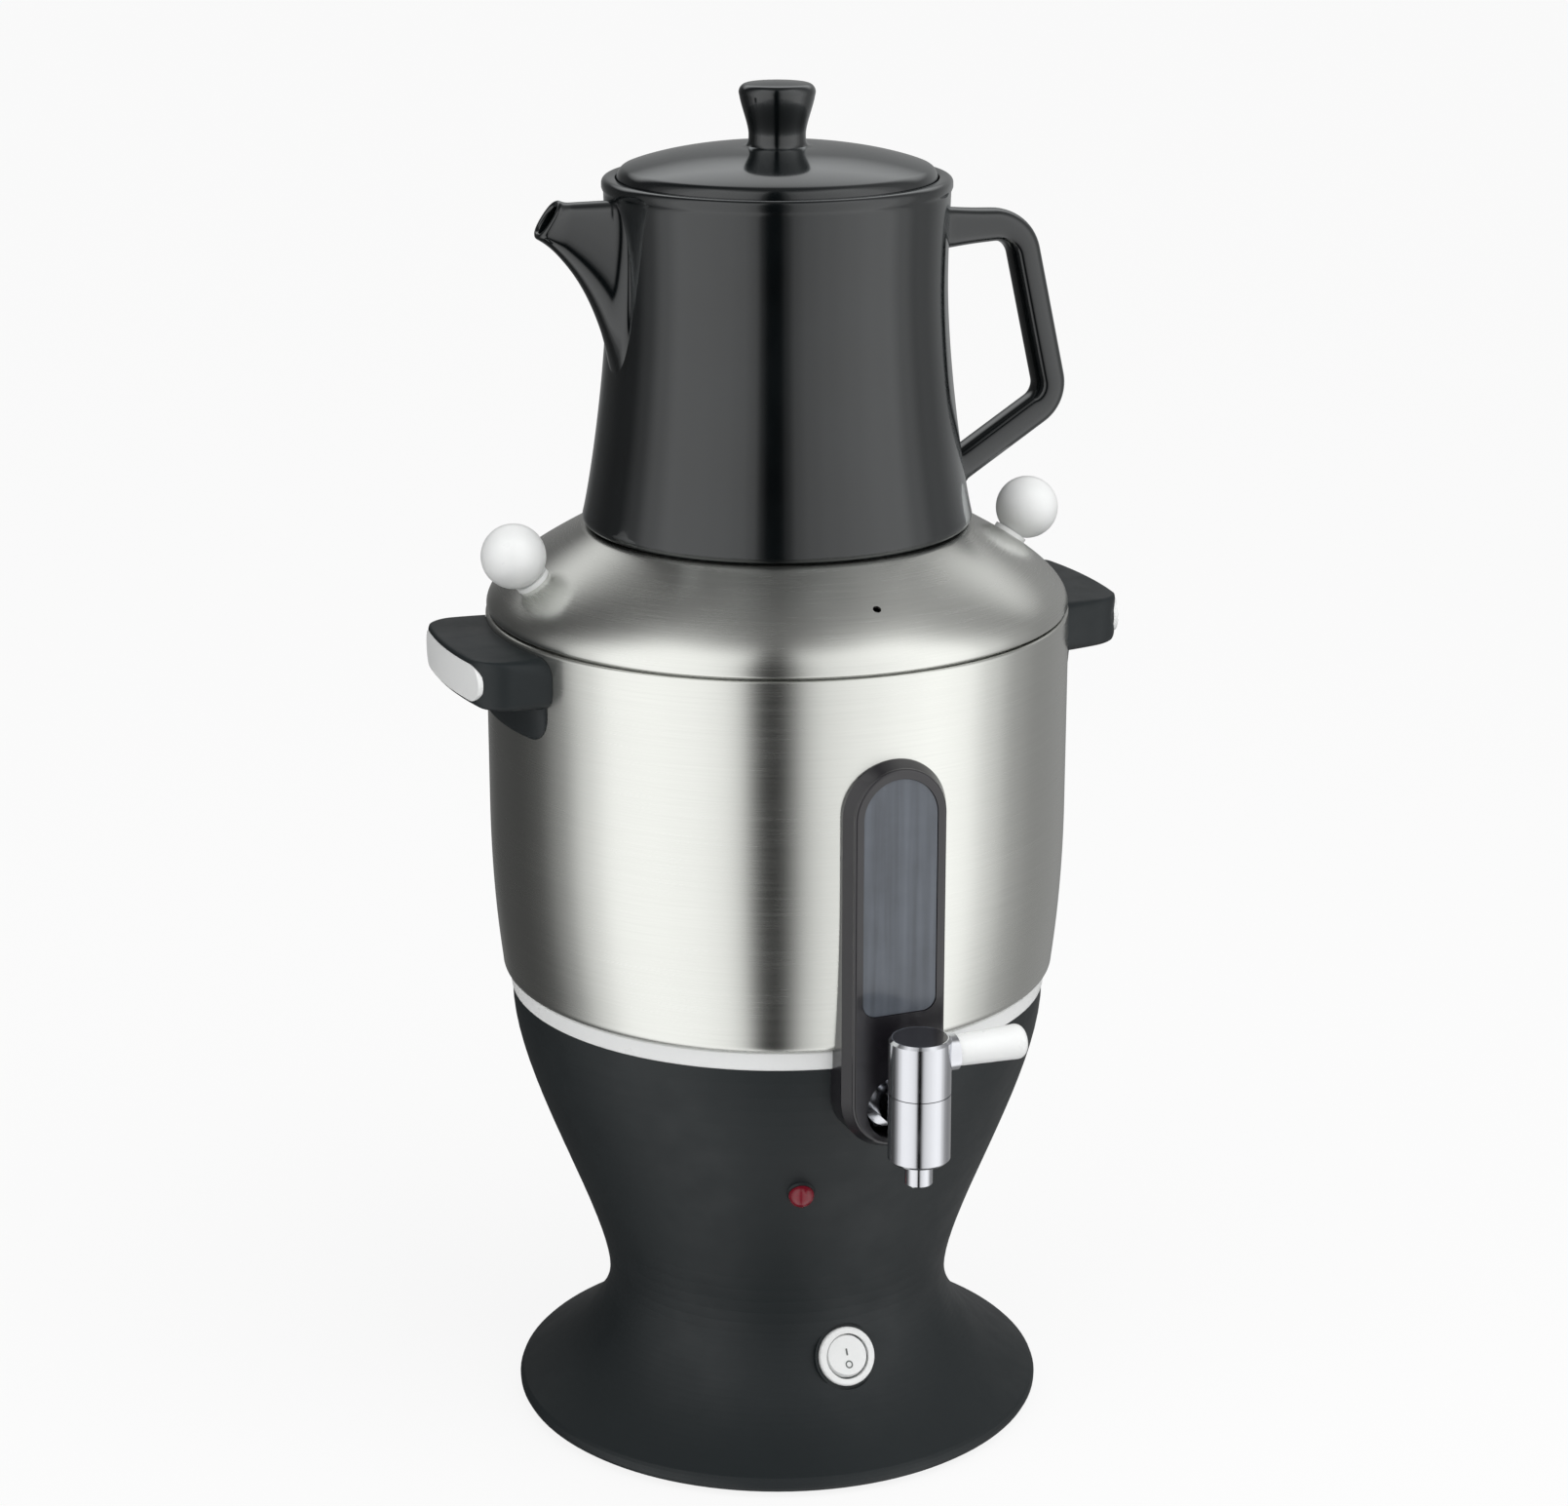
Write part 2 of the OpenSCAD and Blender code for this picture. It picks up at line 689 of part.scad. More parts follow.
module terminal_block() color(porcelain) placed() translate([0, block_y, plate_top_z]) difference() {
    translate([-block_size.x / 2, -block_size.y / 2, 0]) cube(block_size);
    for (i = [0 : block_poles - 1])
        translate([(i - (block_poles - 1) / 2) * block_pitch, 0, block_wire_h]) {
            translate([0, -block_size.y, 0])
                rotate([-90, 0, 0]) cylinder(r = block_wire_r, h = 2 * block_size.y);
            for (side = [-1, 1])
                translate([0, side * block_size.y / 4, 0]) cylinder(r = block_screw_r, h = block_size.z);
        }
}

// Indicator lamp: a push-in holder and its domed lens
lamp_depth = 12;
lamp_body_r = 4.1;
lamp_flange_t = 0.9;
lamp_edge = 0.5;
lens_stem_r = 3;
lens_stem_depth = 4;
lens_h = 2.7;

module lamp_holder() color(black_plastic) placed() on_surface(bowl, lamp_share, lamp_turn)
    turned([
        [0, -lamp_depth],
        [lamp_body_r, -lamp_depth],
        [lamp_body_r, fit_gap],
        [lamp_flange_r, fit_gap],
        [lamp_flange_r - lamp_edge, fit_gap + lamp_flange_t],
        [lens_stem_r + shaft_gap, fit_gap + lamp_flange_t],
        [lens_stem_r + shaft_gap, -lens_stem_depth],
        [0, -lens_stem_depth]
    ]);

module lamp_lens() color(lens_red) placed() on_surface(bowl, lamp_share, lamp_turn)
    translate([0, 0, fit_gap + lamp_flange_t])
        turned(concat(
            [
                [0, -lens_stem_depth],
                [lens_stem_r, -lens_stem_depth],
                [lens_stem_r, 0]
            ],
            [for (p = arc([0, 0], lens_r, 0, 90)) [p.x, p.y * lens_h / lens_r]]
        ));

// Rocker switch: a round body with a bezel and two tabs, and a ball-shaped rocker on a pin
switch_body_r = 9.5;
switch_depth = 16;
switch_flange_t = 2;
switch_round = 0.8;
rocker_gap = 0.3;
rocker_sunk = 0.5;
rocker_top_h = 3;
rocker_hollow_r = 45;
rocker_tail = 4.5;
rocker_pin_r = 1.2;
rocker_pin_reach = 9.1;
switch_top_h = switch_pad_h + switch_flange_t;
cavity_depth = 9;

module switch_body() color(white_plastic) placed() on_surface(flare, switch_share) {
    difference() {
        turned(concat(
            [
                [0, -switch_depth],
                [switch_body_r - switch_round, -switch_depth],
                [switch_body_r, switch_round - switch_depth],
                [switch_body_r, switch_pad_h],
                [switch_flange_r, switch_pad_h]
            ],
            arc([switch_flange_r - switch_round, switch_top_h - switch_round], switch_round, 0, 90),
            [
                [rocker_r + rocker_gap, switch_top_h],
                [rocker_r + rocker_gap, -cavity_depth],
                [0, -cavity_depth]
            ]
        ));
        translate([-rocker_pin_reach, 0, -rocker_sunk])
            rotate([0, 90, 0]) cylinder(r = rocker_pin_r + shaft_gap, h = 2 * rocker_pin_reach);
    }
    for (side = [-1, 1])
        translate([-tab_w / 2, side * tab_spread - tab_t / 2, -switch_depth - tab_h])
            cube([tab_w, tab_t, tab_h + over]);
}

module switch_rocker() color(white_plastic) placed() on_surface(flare, switch_share)
    translate([0, 0, -rocker_sunk]) rotate([-rocker_tilt, 0, 0]) {
        difference() {
            sphere(r = rocker_r);
            translate([-rocker_r, 0, rocker_top_h + rocker_hollow_r])
                rotate([0, 90, 0]) cylinder(r = rocker_hollow_r, h = 2 * rocker_r);
            translate([-rocker_r, -rocker_r, -rocker_tail - rocker_r])
                cube([2 * rocker_r, 2 * rocker_r, rocker_r]);
        }
        translate([fit_gap - rocker_pin_reach, 0, 0])
            rotate([0, 90, 0]) cylinder(r = rocker_pin_r, h = 2 * (rocker_pin_reach - fit_gap));
    }

// Sight glass: a bezel with round ends that narrows to the front, a pane and its seal
bezel_low_z = ring_top_z - bezel_reach;
bezel_top_c = tank_rim_z - bezel_drop - bezel_half_w;
bezel_low_c = bezel_low_z + bezel_half_w;
bezel_front = tank_r + bezel_proud;
bezel_root = 12;
bezel_back = bowl_r - bezel_root;
bezel_bevel = 5.8;
bezel_edge_r = 1.2;
bezel_face_t = 2;
bezel_side_wall = 3.8;
bezel_in_half_w = bezel_half_w - bezel_side_wall;
bezel_hole_gap = 0.6;
window_z = ring_top_z + window_lift;
window_top_c = bezel_top_c;
window_round = 5;
pane_gap = 0.2;
pane_sunk = 0.4;
pane_flange_w = 1.2;
pane_flange_t = 1.4;
seal_w = 0.5;
pane_back = bezel_front - bezel_face_t - pane_flange_t;
bezel_half_section = concat(
    [[0, bezel_back], [bezel_half_w, bezel_back], [bezel_half_w, bezel_front - bezel_bevel]],
    arc([bezel_face_half_w - bezel_edge_r, bezel_front - bezel_edge_r], bezel_edge_r, 0, 90),
    [[0, bezel_front]]
);

// Window outline: a half round at the top and small round corners at the bottom
module window_outline(half_w, low_z, top_c, r) {
    translate([0, top_c]) circle(half_w);
    translate([-half_w, low_z + r]) square([2 * half_w, top_c - low_z - r]);
    translate([r - half_w, low_z]) square([2 * (half_w - r), top_c - low_z]);
    for (side = [-1, 1])
        translate([side * (half_w - r), low_z + r]) circle(r);
}

module bezel_bar() {
    mirrored = [for (p = reversed(bezel_half_section)) [-p.x, p.y]];
    for (c = [bezel_low_c, bezel_top_c])
        translate([0, 0, c]) rotate([90, 0, 0]) turned(bezel_half_section);
    translate([0, 0, bezel_low_c])
        mirror([0, 1, 0])
            linear_extrude(bezel_top_c - bezel_low_c) polygon(concat(bezel_half_section, mirrored));
}

module sight_bezel() color(black_plastic) placed() difference() {
    bezel_bar();
    body_solid(fit_gap);
    front_prism(0, bezel_front - bezel_face_t) {
        for (c = [bezel_low_c, bezel_top_c])
            translate([0, c]) circle(bezel_in_half_w);
        translate([-bezel_in_half_w, bezel_low_c])
            square([2 * bezel_in_half_w, bezel_top_c - bezel_low_c]);
    }
    front_prism(bezel_back, bezel_front + over)
        window_outline(window_half_w, window_z, window_top_c, window_round);
    front_cylinder(pad_r + bezel_hole_gap, bezel_back - over, bezel_front + over, stem_z);
}

module sight_window() color(smoked) placed() {
    front_prism(pane_back, pane_back + pane_flange_t)
        window_outline(
            window_half_w + pane_flange_w, window_z - pane_flange_w, window_top_c, window_round
        );
    front_prism(pane_back, bezel_front - pane_sunk)
        window_outline(window_half_w - pane_gap, window_z + pane_gap, window_top_c, window_round);
}

module sight_seal() color(silicone) placed() difference() {
    front_prism(well_r, pane_back)
        window_outline(window_half_w + seal_w, window_z - seal_w, window_top_c, window_round);
    body_solid(fit_gap);
    front_prism(well_r - over, bezel_front)
        window_outline(
            slot_half_w + seal_w, window_z + slot_lift - seal_w, window_top_c, window_round
        );
}

// Tap: a body with nozzle and stem, nuts and seals that clamp it, and a plug turned by the lever
stem_z = ring_top_z - tap_drop;
stem_lift = 12.5;
tap_low_z = stem_z - stem_lift;
tap_split_z = tap_low_z + tap_lower_h;
tap_cap_z = tap_split_z + lift_gap;
tap_cap_top_z = tap_cap_z + tap_upper_h;
tap_edge = 1;
nozzle_edge = 0.6;
chamber_depth = 3.4;
chamber_z = stem_z - water_r - chamber_depth;
chamber_gap = 0.4;
lever_drop = 7;
lever_z = tap_cap_top_z - lever_drop;
collar_r = 6.6;
collar_reach = 13;
lever_peg_r = 3;
lever_peg_h = 6;
lever_end_round = 3;
cap_disc_r = 9.5;
cap_disc_t = 0.9;
lock_nut_r = 11;
lock_nut_t = 5;
lock_nut_edge = 1.4;
inner_seal_r = 9.5;
inner_seal_t = 2.5;
inner_nut_r = 9.5;
inner_nut_t = 5;
stem_tail = 3;
inner_seal_y = well_in_r - inner_seal_t;
inner_nut_y = inner_seal_y - inner_nut_t;
stem_end = inner_nut_y - stem_tail;

module tap_body() color(chrome) placed() translate([0, -tap_reach, 0]) difference() {
    union() {
        turned([
            [0, tap_low_z - nozzle_h],
            [nozzle_r - nozzle_edge, tap_low_z - nozzle_h],
            [nozzle_r, tap_low_z - nozzle_h + nozzle_edge],
            [nozzle_r, tap_low_z],
            [tap_r - tap_edge, tap_low_z],
            [tap_r, tap_low_z + tap_edge],
            [tap_r, tap_split_z],
            [0, tap_split_z]
        ]);
        translate([0, 0, stem_z]) rotate([-90, 0, 0]) cylinder(r = stem_r, h = tap_reach - stem_end);
    }
    translate([0, 0, stem_z]) rotate([-90, 0, 0]) cylinder(r = water_r, h = tap_reach - stem_end + over);
    translate([0, 0, chamber_z]) cylinder(r = plug_r + shaft_gap, h = tap_lower_h);
    translate([0, 0, tap_low_z - nozzle_h - over]) cylinder(r = water_r, h = nozzle_h + tap_lower_h);
}

module tap_cap() color(chrome) placed() translate([0, -tap_reach, 0]) difference() {
    union() {
        turned([
            [0, chamber_z + chamber_gap],
            [plug_r, chamber_z + chamber_gap],
            [plug_r, tap_cap_z],
            [tap_r, tap_cap_z],
            [tap_r, tap_cap_top_z - tap_edge],
            [tap_r - tap_edge, tap_cap_top_z],
            [0, tap_cap_top_z]
        ]);
        translate([0, 0, lever_z]) rotate([0, 90, 0]) cylinder(r = collar_r, h = collar_reach);
    }
    translate([0, 0, tap_cap_top_z - cap_disc_t]) cylinder(r = cap_disc_r + shaft_gap, h = cap_disc_t + over);
    translate([collar_reach - lever_peg_h, 0, lever_z])
        rotate([0, 90, 0]) cylinder(r = lever_peg_r + shaft_gap, h = lever_peg_h + over);
    translate([-tap_r, 0, stem_z]) rotate([0, 90, 0]) cylinder(r = water_r, h = tap_r);
    translate([0, 0, chamber_z]) cylinder(r = water_r, h = stem_z - chamber_z);
}

module tap_cap_disc() color(glaze) placed()
    translate([0, -tap_reach, tap_cap_top_z - cap_disc_t]) cylinder(r = cap_disc_r, h = cap_disc_t);

module tap_lever() color(white_plastic) placed()
    translate([collar_reach, -tap_reach, lever_z]) rotate([0, 90, 0]) turned(concat(
        [
            [0, fit_gap - lever_peg_h],
            [lever_peg_r, fit_gap - lever_peg_h],
            [lever_peg_r, 0],
            [lever_root_r, 0]
        ],
        arc(
            [lever_end_r - lever_end_round, lever_reach - collar_reach - lever_end_round],
            lever_end_round, 0, 90
        ),
        [[0, lever_reach - collar_reach]]
    ));

// Ring round the stem between two distances from the axis
module stem_ring(r, near, far, sides = round_steps) {
    difference() {
        front_cylinder(r, near, far, stem_z, sides);
        front_cylinder(stem_r + shaft_gap, near - over, far + over, stem_z);
    }
}

module tap_spacer() color(silicone) placed() difference() {
    stem_ring(pad_r, well_in_r, pad_back);
    translate([0, 0, well_z]) cylinder(r = well_r + fit_gap, h = well_depth, $fn = fine_steps);
}

module tap_lock_nut() color(chrome) placed() intersection() {
    stem_ring(lock_nut_r, pad_face, pad_face + lock_nut_t, hex_sides);
    translate([0, -pad_face, stem_z])
        rotate([90, 0, 0])
            turned([
                [0, 0],
                [lock_nut_r, 0],
                [lock_nut_r, lock_nut_t - lock_nut_edge / 2],
                [lock_nut_r - lock_nut_edge, lock_nut_t],
                [0, lock_nut_t]
            ]);
}

module tap_inner_seal() color(silicone) placed() intersection() {
    stem_ring(inner_seal_r, inner_seal_y, well_in_r);
    turned(concat(moved(well_path, tank_wall + fit_gap), [[0, ring_top_z]]), fine_steps);
}

module tap_inner_nut() color(brass) placed() stem_ring(inner_nut_r, inner_nut_y, inner_seal_y, hex_sides);

// Side handle: a flat grip with a bowed face and a finger recess, on a plate that lies on the tank
handle_top_z = tank_rim_z - handle_drop;
handle_low_z = handle_top_z - handle_h;
handle_root = 8;
handle_root_r = tank_r - handle_root;
handle_reach = tank_r + handle_out;
handle_bow = 3.5;
handle_bow_r = (pow(handle_half_w, 2) + pow(handle_bow, 2)) / (2 * handle_bow);
handle_spread = 3.5;
handle_corner_r = 10;
handle_top_round = 2;
handle_low_round = 3.5;
handle_slope = 2.5;
lug_plate_half_w = 27;
lug_plate_h = 12.5;
lug_plate_t = 3.6;
lug_plate_tip_t = 1.6;
lug_plate_round = 8;
grip_in = 4;
grip_front_wall = 5.5;
grip_w = handle_out - grip_in - grip_front_wall;
grip_half_w = 22.5;
grip_round = 4;
insert_h = 13.4;
insert_half_w = 30.5;
insert_lift = 1.9;
insert_t = 1.8;
handle_screw_angle = 14.5;
handle_screw_drop = 13;
handle_screw_r = 2;
handle_screw_head_r = 4;
handle_screw_head_h = 2;
handle_screw_depth = 11;

// Screw places of one handle and of both, with Z along each screw from the axis outwards
module handle_screw_pair() {
    for (a = [-handle_screw_angle, handle_screw_angle])
        rotate([0, 0, a])
            translate([0, 0, handle_top_z - handle_screw_drop]) rotate([0, 90, 0]) children();
}
module handle_screw_places() {
    for (side = [0, 180])
        rotate([0, 0, side]) handle_screw_pair() children();
}

// Prism along Y, as wide as the handle, of an outline drawn in X and Z
module handle_prism(half_w) {
    translate([0, half_w, 0]) rotate([90, 0, 0]) linear_extrude(2 * half_w) children();
}

// Standing cylinder behind the bowed face, at a depth below it
module bow(depth) {
    translate([handle_reach - handle_bow_r, 0, handle_low_z - handle_slope])
        cylinder(r = handle_bow_r - depth, h = handle_h + handle_slope, $fn = fine_steps);
}

module grip_block() {
    half_w = handle_half_w + handle_spread;
    intersection() {
        translate([0, 0, handle_low_z - handle_slope])
            linear_extrude(handle_h + handle_slope)
                polygon(rounded(
                    [
                        [handle_root_r, -half_w],
                        [handle_reach, -handle_half_w],
                        [handle_reach, handle_half_w],
                        [handle_root_r, half_w]
                    ],
                    [handle_corner_r, handle_corner_r]
                ));
        handle_prism(half_w)
            polygon(rounded(
                [
                    [handle_root_r, handle_top_z],
                    [handle_reach, handle_top_z],
                    [handle_reach, handle_low_z],
                    [handle_root_r, handle_low_z - handle_slope]
                ],
                [handle_top_round, handle_low_round]
            ));
        bow(0);
    }
}

module lug_plate() {
    low_z = handle_low_z - lug_plate_h;
    intersection() {
        handle_prism(lug_plate_half_w)
            polygon([
                [handle_root_r, handle_low_z],
                [tank_r + lug_plate_t, handle_low_z],
                [tank_r + lug_plate_tip_t, low_z + lug_plate_tip_t],
                [tank_r, low_z],
                [handle_root_r, low_z]
            ]);
        rotate([90, 0, 90])
            linear_extrude(handle_reach)
                polygon(rounded(
                    [
                        [-lug_plate_half_w, handle_top_z],
                        [-lug_plate_half_w, low_z],
                        [lug_plate_half_w, low_z],
                        [lug_plate_half_w, handle_top_z]
                    ],
                    [lug_plate_round, lug_plate_round]
                ));
    }
}

module insert_bar(gap) {
    half_h = insert_h / 2;
    translate([handle_root_r, 0, handle_low_z + insert_lift + half_h])
        rotate([90, 0, 90])
            linear_extrude(handle_reach - handle_root_r + over) {
                for (side = [-1, 1])
                    translate([side * (insert_half_w - half_h), 0]) circle(half_h + gap);
                translate([half_h - insert_half_w, -half_h - gap])
                    square([2 * (insert_half_w - half_h), insert_h + 2 * gap]);
            }
}

module side_handle() difference() {
    union() {
        grip_block();
        lug_plate();
    }
    cylinder(r = tank_r + fit_gap, h = tank_rim_z, $fn = fine_steps);
    translate([tank_r + grip_in, -grip_half_w, handle_low_z - lug_plate_h])
        linear_extrude(lug_plate_h + grip_depth)
            polygon(rounded(
                [
                    [0, grip_half_w],
                    [0, 0],
                    [grip_w, 0],
                    [grip_w, 2 * grip_half_w],
                    [0, 2 * grip_half_w],
                    [0, grip_half_w]
                ],
                [grip_round, grip_round, grip_round, grip_round]
            ));
    difference() {
        insert_bar(fit_gap);
        bow(insert_t + fit_gap);
    }
    handle_screw_pair() cylinder(r = handle_screw_r + shaft_gap, h = tank_r + handle_screw_depth);
}
module handle_left() color(black_plastic) placed() rotate([0, 0, 180]) side_handle();
module handle_right() color(black_plastic) placed() side_handle();

module handle_insert() intersection() {
    insert_bar(0);
    difference() {
        bow(0);
        translate([0, 0, -over]) bow(insert_t);
        translate([0, 0, over]) bow(insert_t);
    }
}
module handle_insert_left() color(white_plastic) placed() rotate([0, 0, 180]) handle_insert();
module handle_insert_right() color(white_plastic) placed() handle_insert();

module handle_screws() color(steel) placed() handle_screw_places()
    translate([0, 0, tank_r - tank_wall - fit_gap])
        screw(handle_screw_r, handle_screw_head_r, handle_screw_head_h, handle_screw_depth);

// Tank lid: a domed sheet with a flat seat, a collar round the steam opening and a centring ring
dome_rim_share = 0.344;
dome_seat_share = 0.301;
dome_in_share = 0.465;
dome_r = tank_r - bead_in / 2;
dome = [
    [dome_r, lid_z],
    [dome_r, lid_z + dome_rim_share * dome_h],
    [seat_r + dome_in_share * (dome_r - seat_r), seat_z - dome_seat_share * dome_h],
    [seat_r, seat_z]
];
spigot_gap = 0.6;
spigot_t = 1.2;
spigot_r = tank_r - bead_in - tank_wall - spigot_gap;
spigot_weld_share = sqrt(
    (dome_r - spigot_r - tank_wall / 2) / (3 * (1 - dome_in_share) * (dome_r - seat_r))
);
spigot_top_z = bez(dome, spigot_weld_share).y;
vent_share = 0.6;
ball_place_share = 0.521;
neck_r = 4.6;
collar_wide_r = 6.4;
collar_t = 1.6;
knob_screw_r = 1.9;
knob_screw_head_r = 3.8;
knob_screw_head_h = 1.8;
knob_screw_depth = 9;

// Frame of a ball knob: its origin on the dome and Z along the normal
module knob_place(turn) {
    on_surface(dome, ball_place_share, turn) children();
}

module tank_lid() color(steel) placed() difference() {
    union() {
        sheet(concat(curve(dome), [[steam_r, seat_z], [steam_r, seat_z + steam_collar_h]]), tank_wall);
        turned([
            [spigot_r - spigot_t, lid_z - lid_spigot_h],
            [spigot_r, lid_z - lid_spigot_h],
            [spigot_r, spigot_top_z],
            [spigot_r - spigot_t, spigot_top_z]
        ]);
    }
    on_surface(dome, vent_share) translate([0, 0, -dome_h / 2]) cylinder(r = vent_r, h = dome_h);
    for (turn = [-90, 90])
        knob_place(turn)
            translate([0, 0, -dome_h / 2]) cylinder(r = knob_screw_r + fit_gap, h = dome_h);
}

module dome_solid(gap) {
    grown = moved(curve(dome), -gap);
    turned(concat([[0, grown[0].y]], grown, [[0, end_of(grown).y]]), fine_steps);
}

module ball_knob(turn) color(white_plastic) placed() difference() {
    knob_place(turn) {
        translate([0, 0, ball_lift]) sphere(r = ball_r);
        translate([0, 0, -over]) cylinder(r = neck_r, h = ball_lift);
        translate([0, 0, -over]) cylinder(r = collar_wide_r, h = collar_t + over);
    }
    dome_solid(fit_gap);
    knob_place(turn)
        translate([0, 0, -over]) cylinder(r = knob_screw_r + shaft_gap, h = knob_screw_depth + 2 * over);
}
module ball_knob_left() ball_knob(-90);
module ball_knob_right() ball_knob(90);

module ball_knob_screws() color(steel) placed()
    for (turn = [-90, 90])
        knob_place(turn)
            translate([0, 0, -tank_wall - 2 * fit_gap])
                screw(knob_screw_r, knob_screw_head_r, knob_screw_head_h, knob_screw_depth);

// Teapot: a round foot, a tapering side, a beaded rim and a ledge inside for the lid
pot_foot_round = 2.5;
pot_curve_share = 0.7;
pot_low_share = 0.164;
pot_low_in_share = 0.335;
pot_high_share = 0.343;
pot_curve_z = pot_z + pot_foot_round;
pot_curve_h = pot_curve_share * pot_h;
pot_curve = [
    [pot_foot_r, pot_curve_z],
    [
        pot_foot_r - pot_low_in_share * (pot_foot_r - pot_waist_r),
        pot_curve_z + pot_low_share * pot_curve_h
    ],
    [pot_waist_r, pot_curve_z + pot_curve_h - pot_high_share * pot_curve_h],
    [pot_waist_r, pot_curve_z + pot_curve_h]
];
pot_bead_h = 4;
pot_bead_w = 0.9;
pot_rim_round = 2;
pot_path = concat(
    arc([pot_foot_r - pot_foot_round, pot_z + pot_foot_round], pot_foot_round, -90, 0),
    tail(curve(pot_curve)),
    [
        [pot_rim_r - pot_bead_w, pot_rim_z - pot_bead_h - pot_bead_w],
        [pot_rim_r, pot_rim_z - pot_bead_h]
    ],
    arc([pot_rim_r - pot_rim_round, pot_rim_z - pot_rim_round], pot_rim_round, 0, 90)
);
pot_recess_r = 55;
pot_floor_z = pot_z + pot_recess_h + pot_floor;
pot_floor_round = 6;
pot_mouth_wall = 5;
pot_ledge_w = 3.3;
pot_ledge_drop = 3.8;
pot_neck_h = 5.5;
pot_mouth_r = pot_rim_r - pot_mouth_wall;
pot_neck_r = pot_mouth_r - pot_ledge_w;
pot_ledge_z = pot_rim_z - pot_ledge_drop;

// Spout: its lower edge in shares of its reach and height, and the sections between its two edges
spout_root_share = 0.4;
spout_low_shares = [[-0.03, 0], [0.214, 0.545], [0.46, 0.768], [1, 1]];
spout_lip = 7.8;
spout_top_drop = 5.2;
spout_tip_h = 11.3;
spout_root_half_w = 10.5;
spout_tip_half_w = 5.2;
spout_square_share = 0.8;
spout_steps = 12;
spout_root_z = pot_z + spout_root_share * pot_h;
spout_top_z = pot_rim_z - spout_top_drop;
spout_tip_z = spout_top_z - spout_tip_h;
spout_root_r = pot_waist_r - pot_wall;
spout_low = [
    for (s = spout_low_shares)
        [
            pot_waist_r + s.x * (spout_reach - pot_waist_r),
            spout_root_z + s.y * (spout_tip_z - spout_root_z)
        ]
];
function spout_sections(wall) = [
    for (i = [0 : spout_steps])
        let (
            t = i / spout_steps,
            top = [spout_root_r + t * (spout_reach - spout_lip - spout_root_r), spout_top_z],
            low = bez(spout_low, t),
            half_w = spout_root_half_w + t * (spout_tip_half_w - spout_root_half_w)
        )
        section(
            (top + low) / 2, (top - low) / norm(top - low),
            norm(top - low) / 2 - wall, half_w - wall, spout_square_share
        )
];
// Channel of the spout, whose end is drawn out through the tip
function channel_sections() =
    let (inner = spout_sections(spout_wall))
    concat(inner, [[for (p = end_of(inner)) p + over * [spout_tip_h, 0, spout_lip] / spout_tip_h]]);
strainer_r = 2;
strainer_pitch = 8;
strainer_side = 4;
strainer_rows = 4;

// Handle of the teapot: the path of its middle line, and sections that widen towards the upper root
pot_handle_root = 2;
pot_handle_top_drop = 22.2;
pot_handle_low_lift = 37.2;
pot_handle_end_lift = 9.6;
pot_handle_end_in = 6;
pot_handle_top_round = 14;
pot_handle_low_round = 11;
pot_handle_flare = 3.4;
pot_handle_flare_reach = 22;
pot_handle_square_share = 0.75;
pot_handle_top_z = pot_rim_z - pot_handle_top_drop;
pot_handle_path = concat(
    [for (s = [0 : 1 / 3 : 1])
        [pot_waist_r - pot_handle_root + s * pot_handle_flare_reach, pot_handle_top_z]],
    tail(rounded(
        [
            [pot_waist_r - pot_handle_root, pot_handle_top_z],
            [pot_handle_top_reach, pot_handle_top_z],
            [pot_handle_low_reach, pot_z + pot_handle_low_lift],
            [pot_foot_r - pot_handle_end_in, pot_z + pot_handle_end_lift]
        ],
        [pot_handle_top_round, pot_handle_low_round]
    ))
);
pot_handle_sections =
    let (n = normals(pot_handle_path), last = len(pot_handle_path) - 1)
    [for (i = [0 : last])
        let (
            a = n[max(i - 1, 0)],
            b = n[min(i, last - 1)],
            p = pot_handle_path[i],
            away = (p.x - pot_waist_r + pot_handle_root) / pot_handle_flare_reach,
            flare = p.y == pot_handle_top_z ? pot_handle_flare * pow(max(0, 1 - away), 2) : 0
        )
        section(
            p, (a + b) / norm(a + b), pot_handle_t / 2 + flare, pot_handle_w / 2, pot_handle_square_share
        )];

module pot_solid() {
    turned(concat([[0, pot_z]], pot_path, [[0, pot_rim_z]]));
}

module pot_cavity() {
    side = [for (p = moved(curve(pot_curve), pot_wall)) if (p.y > pot_floor_z + pot_floor_round) p];
    turned(concat(
        [[0, pot_floor_z]],
        arc([side[0].x - pot_floor_round, pot_floor_z + pot_floor_round], pot_floor_round, -90, 0),
        side,
        [
            [end_of(side).x, pot_ledge_z - 2 * pot_neck_h],
            [pot_neck_r, pot_ledge_z - pot_neck_h],
            [pot_neck_r, pot_ledge_z],
            [pot_mouth_r, pot_ledge_z],
            [pot_mouth_r, pot_rim_z + over],
            [0, pot_rim_z + over]
        ]
    ));
}

module teapot() color(glaze) placed() difference() {
    union() {
        pot_solid();
        mirror([1, 0, 0]) loft(spout_sections(0));
        loft(pot_handle_sections);
    }
    pot_cavity();
    difference() {
        mirror([1, 0, 0]) loft(channel_sections());
        pot_solid();
    }
    translate([0, 0, pot_z - over]) cylinder(r = pot_recess_r, h = pot_recess_h + over);
    for (row = [1 : strainer_rows], y = row % 2 == 0 ? [0] : [-strainer_side, strainer_side])
        translate([-pot_waist_r - pot_wall, y, spout_top_z - row * strainer_pitch])
            rotate([0, 90, 0]) cylinder(r = strainer_r, h = 3 * pot_wall);
}

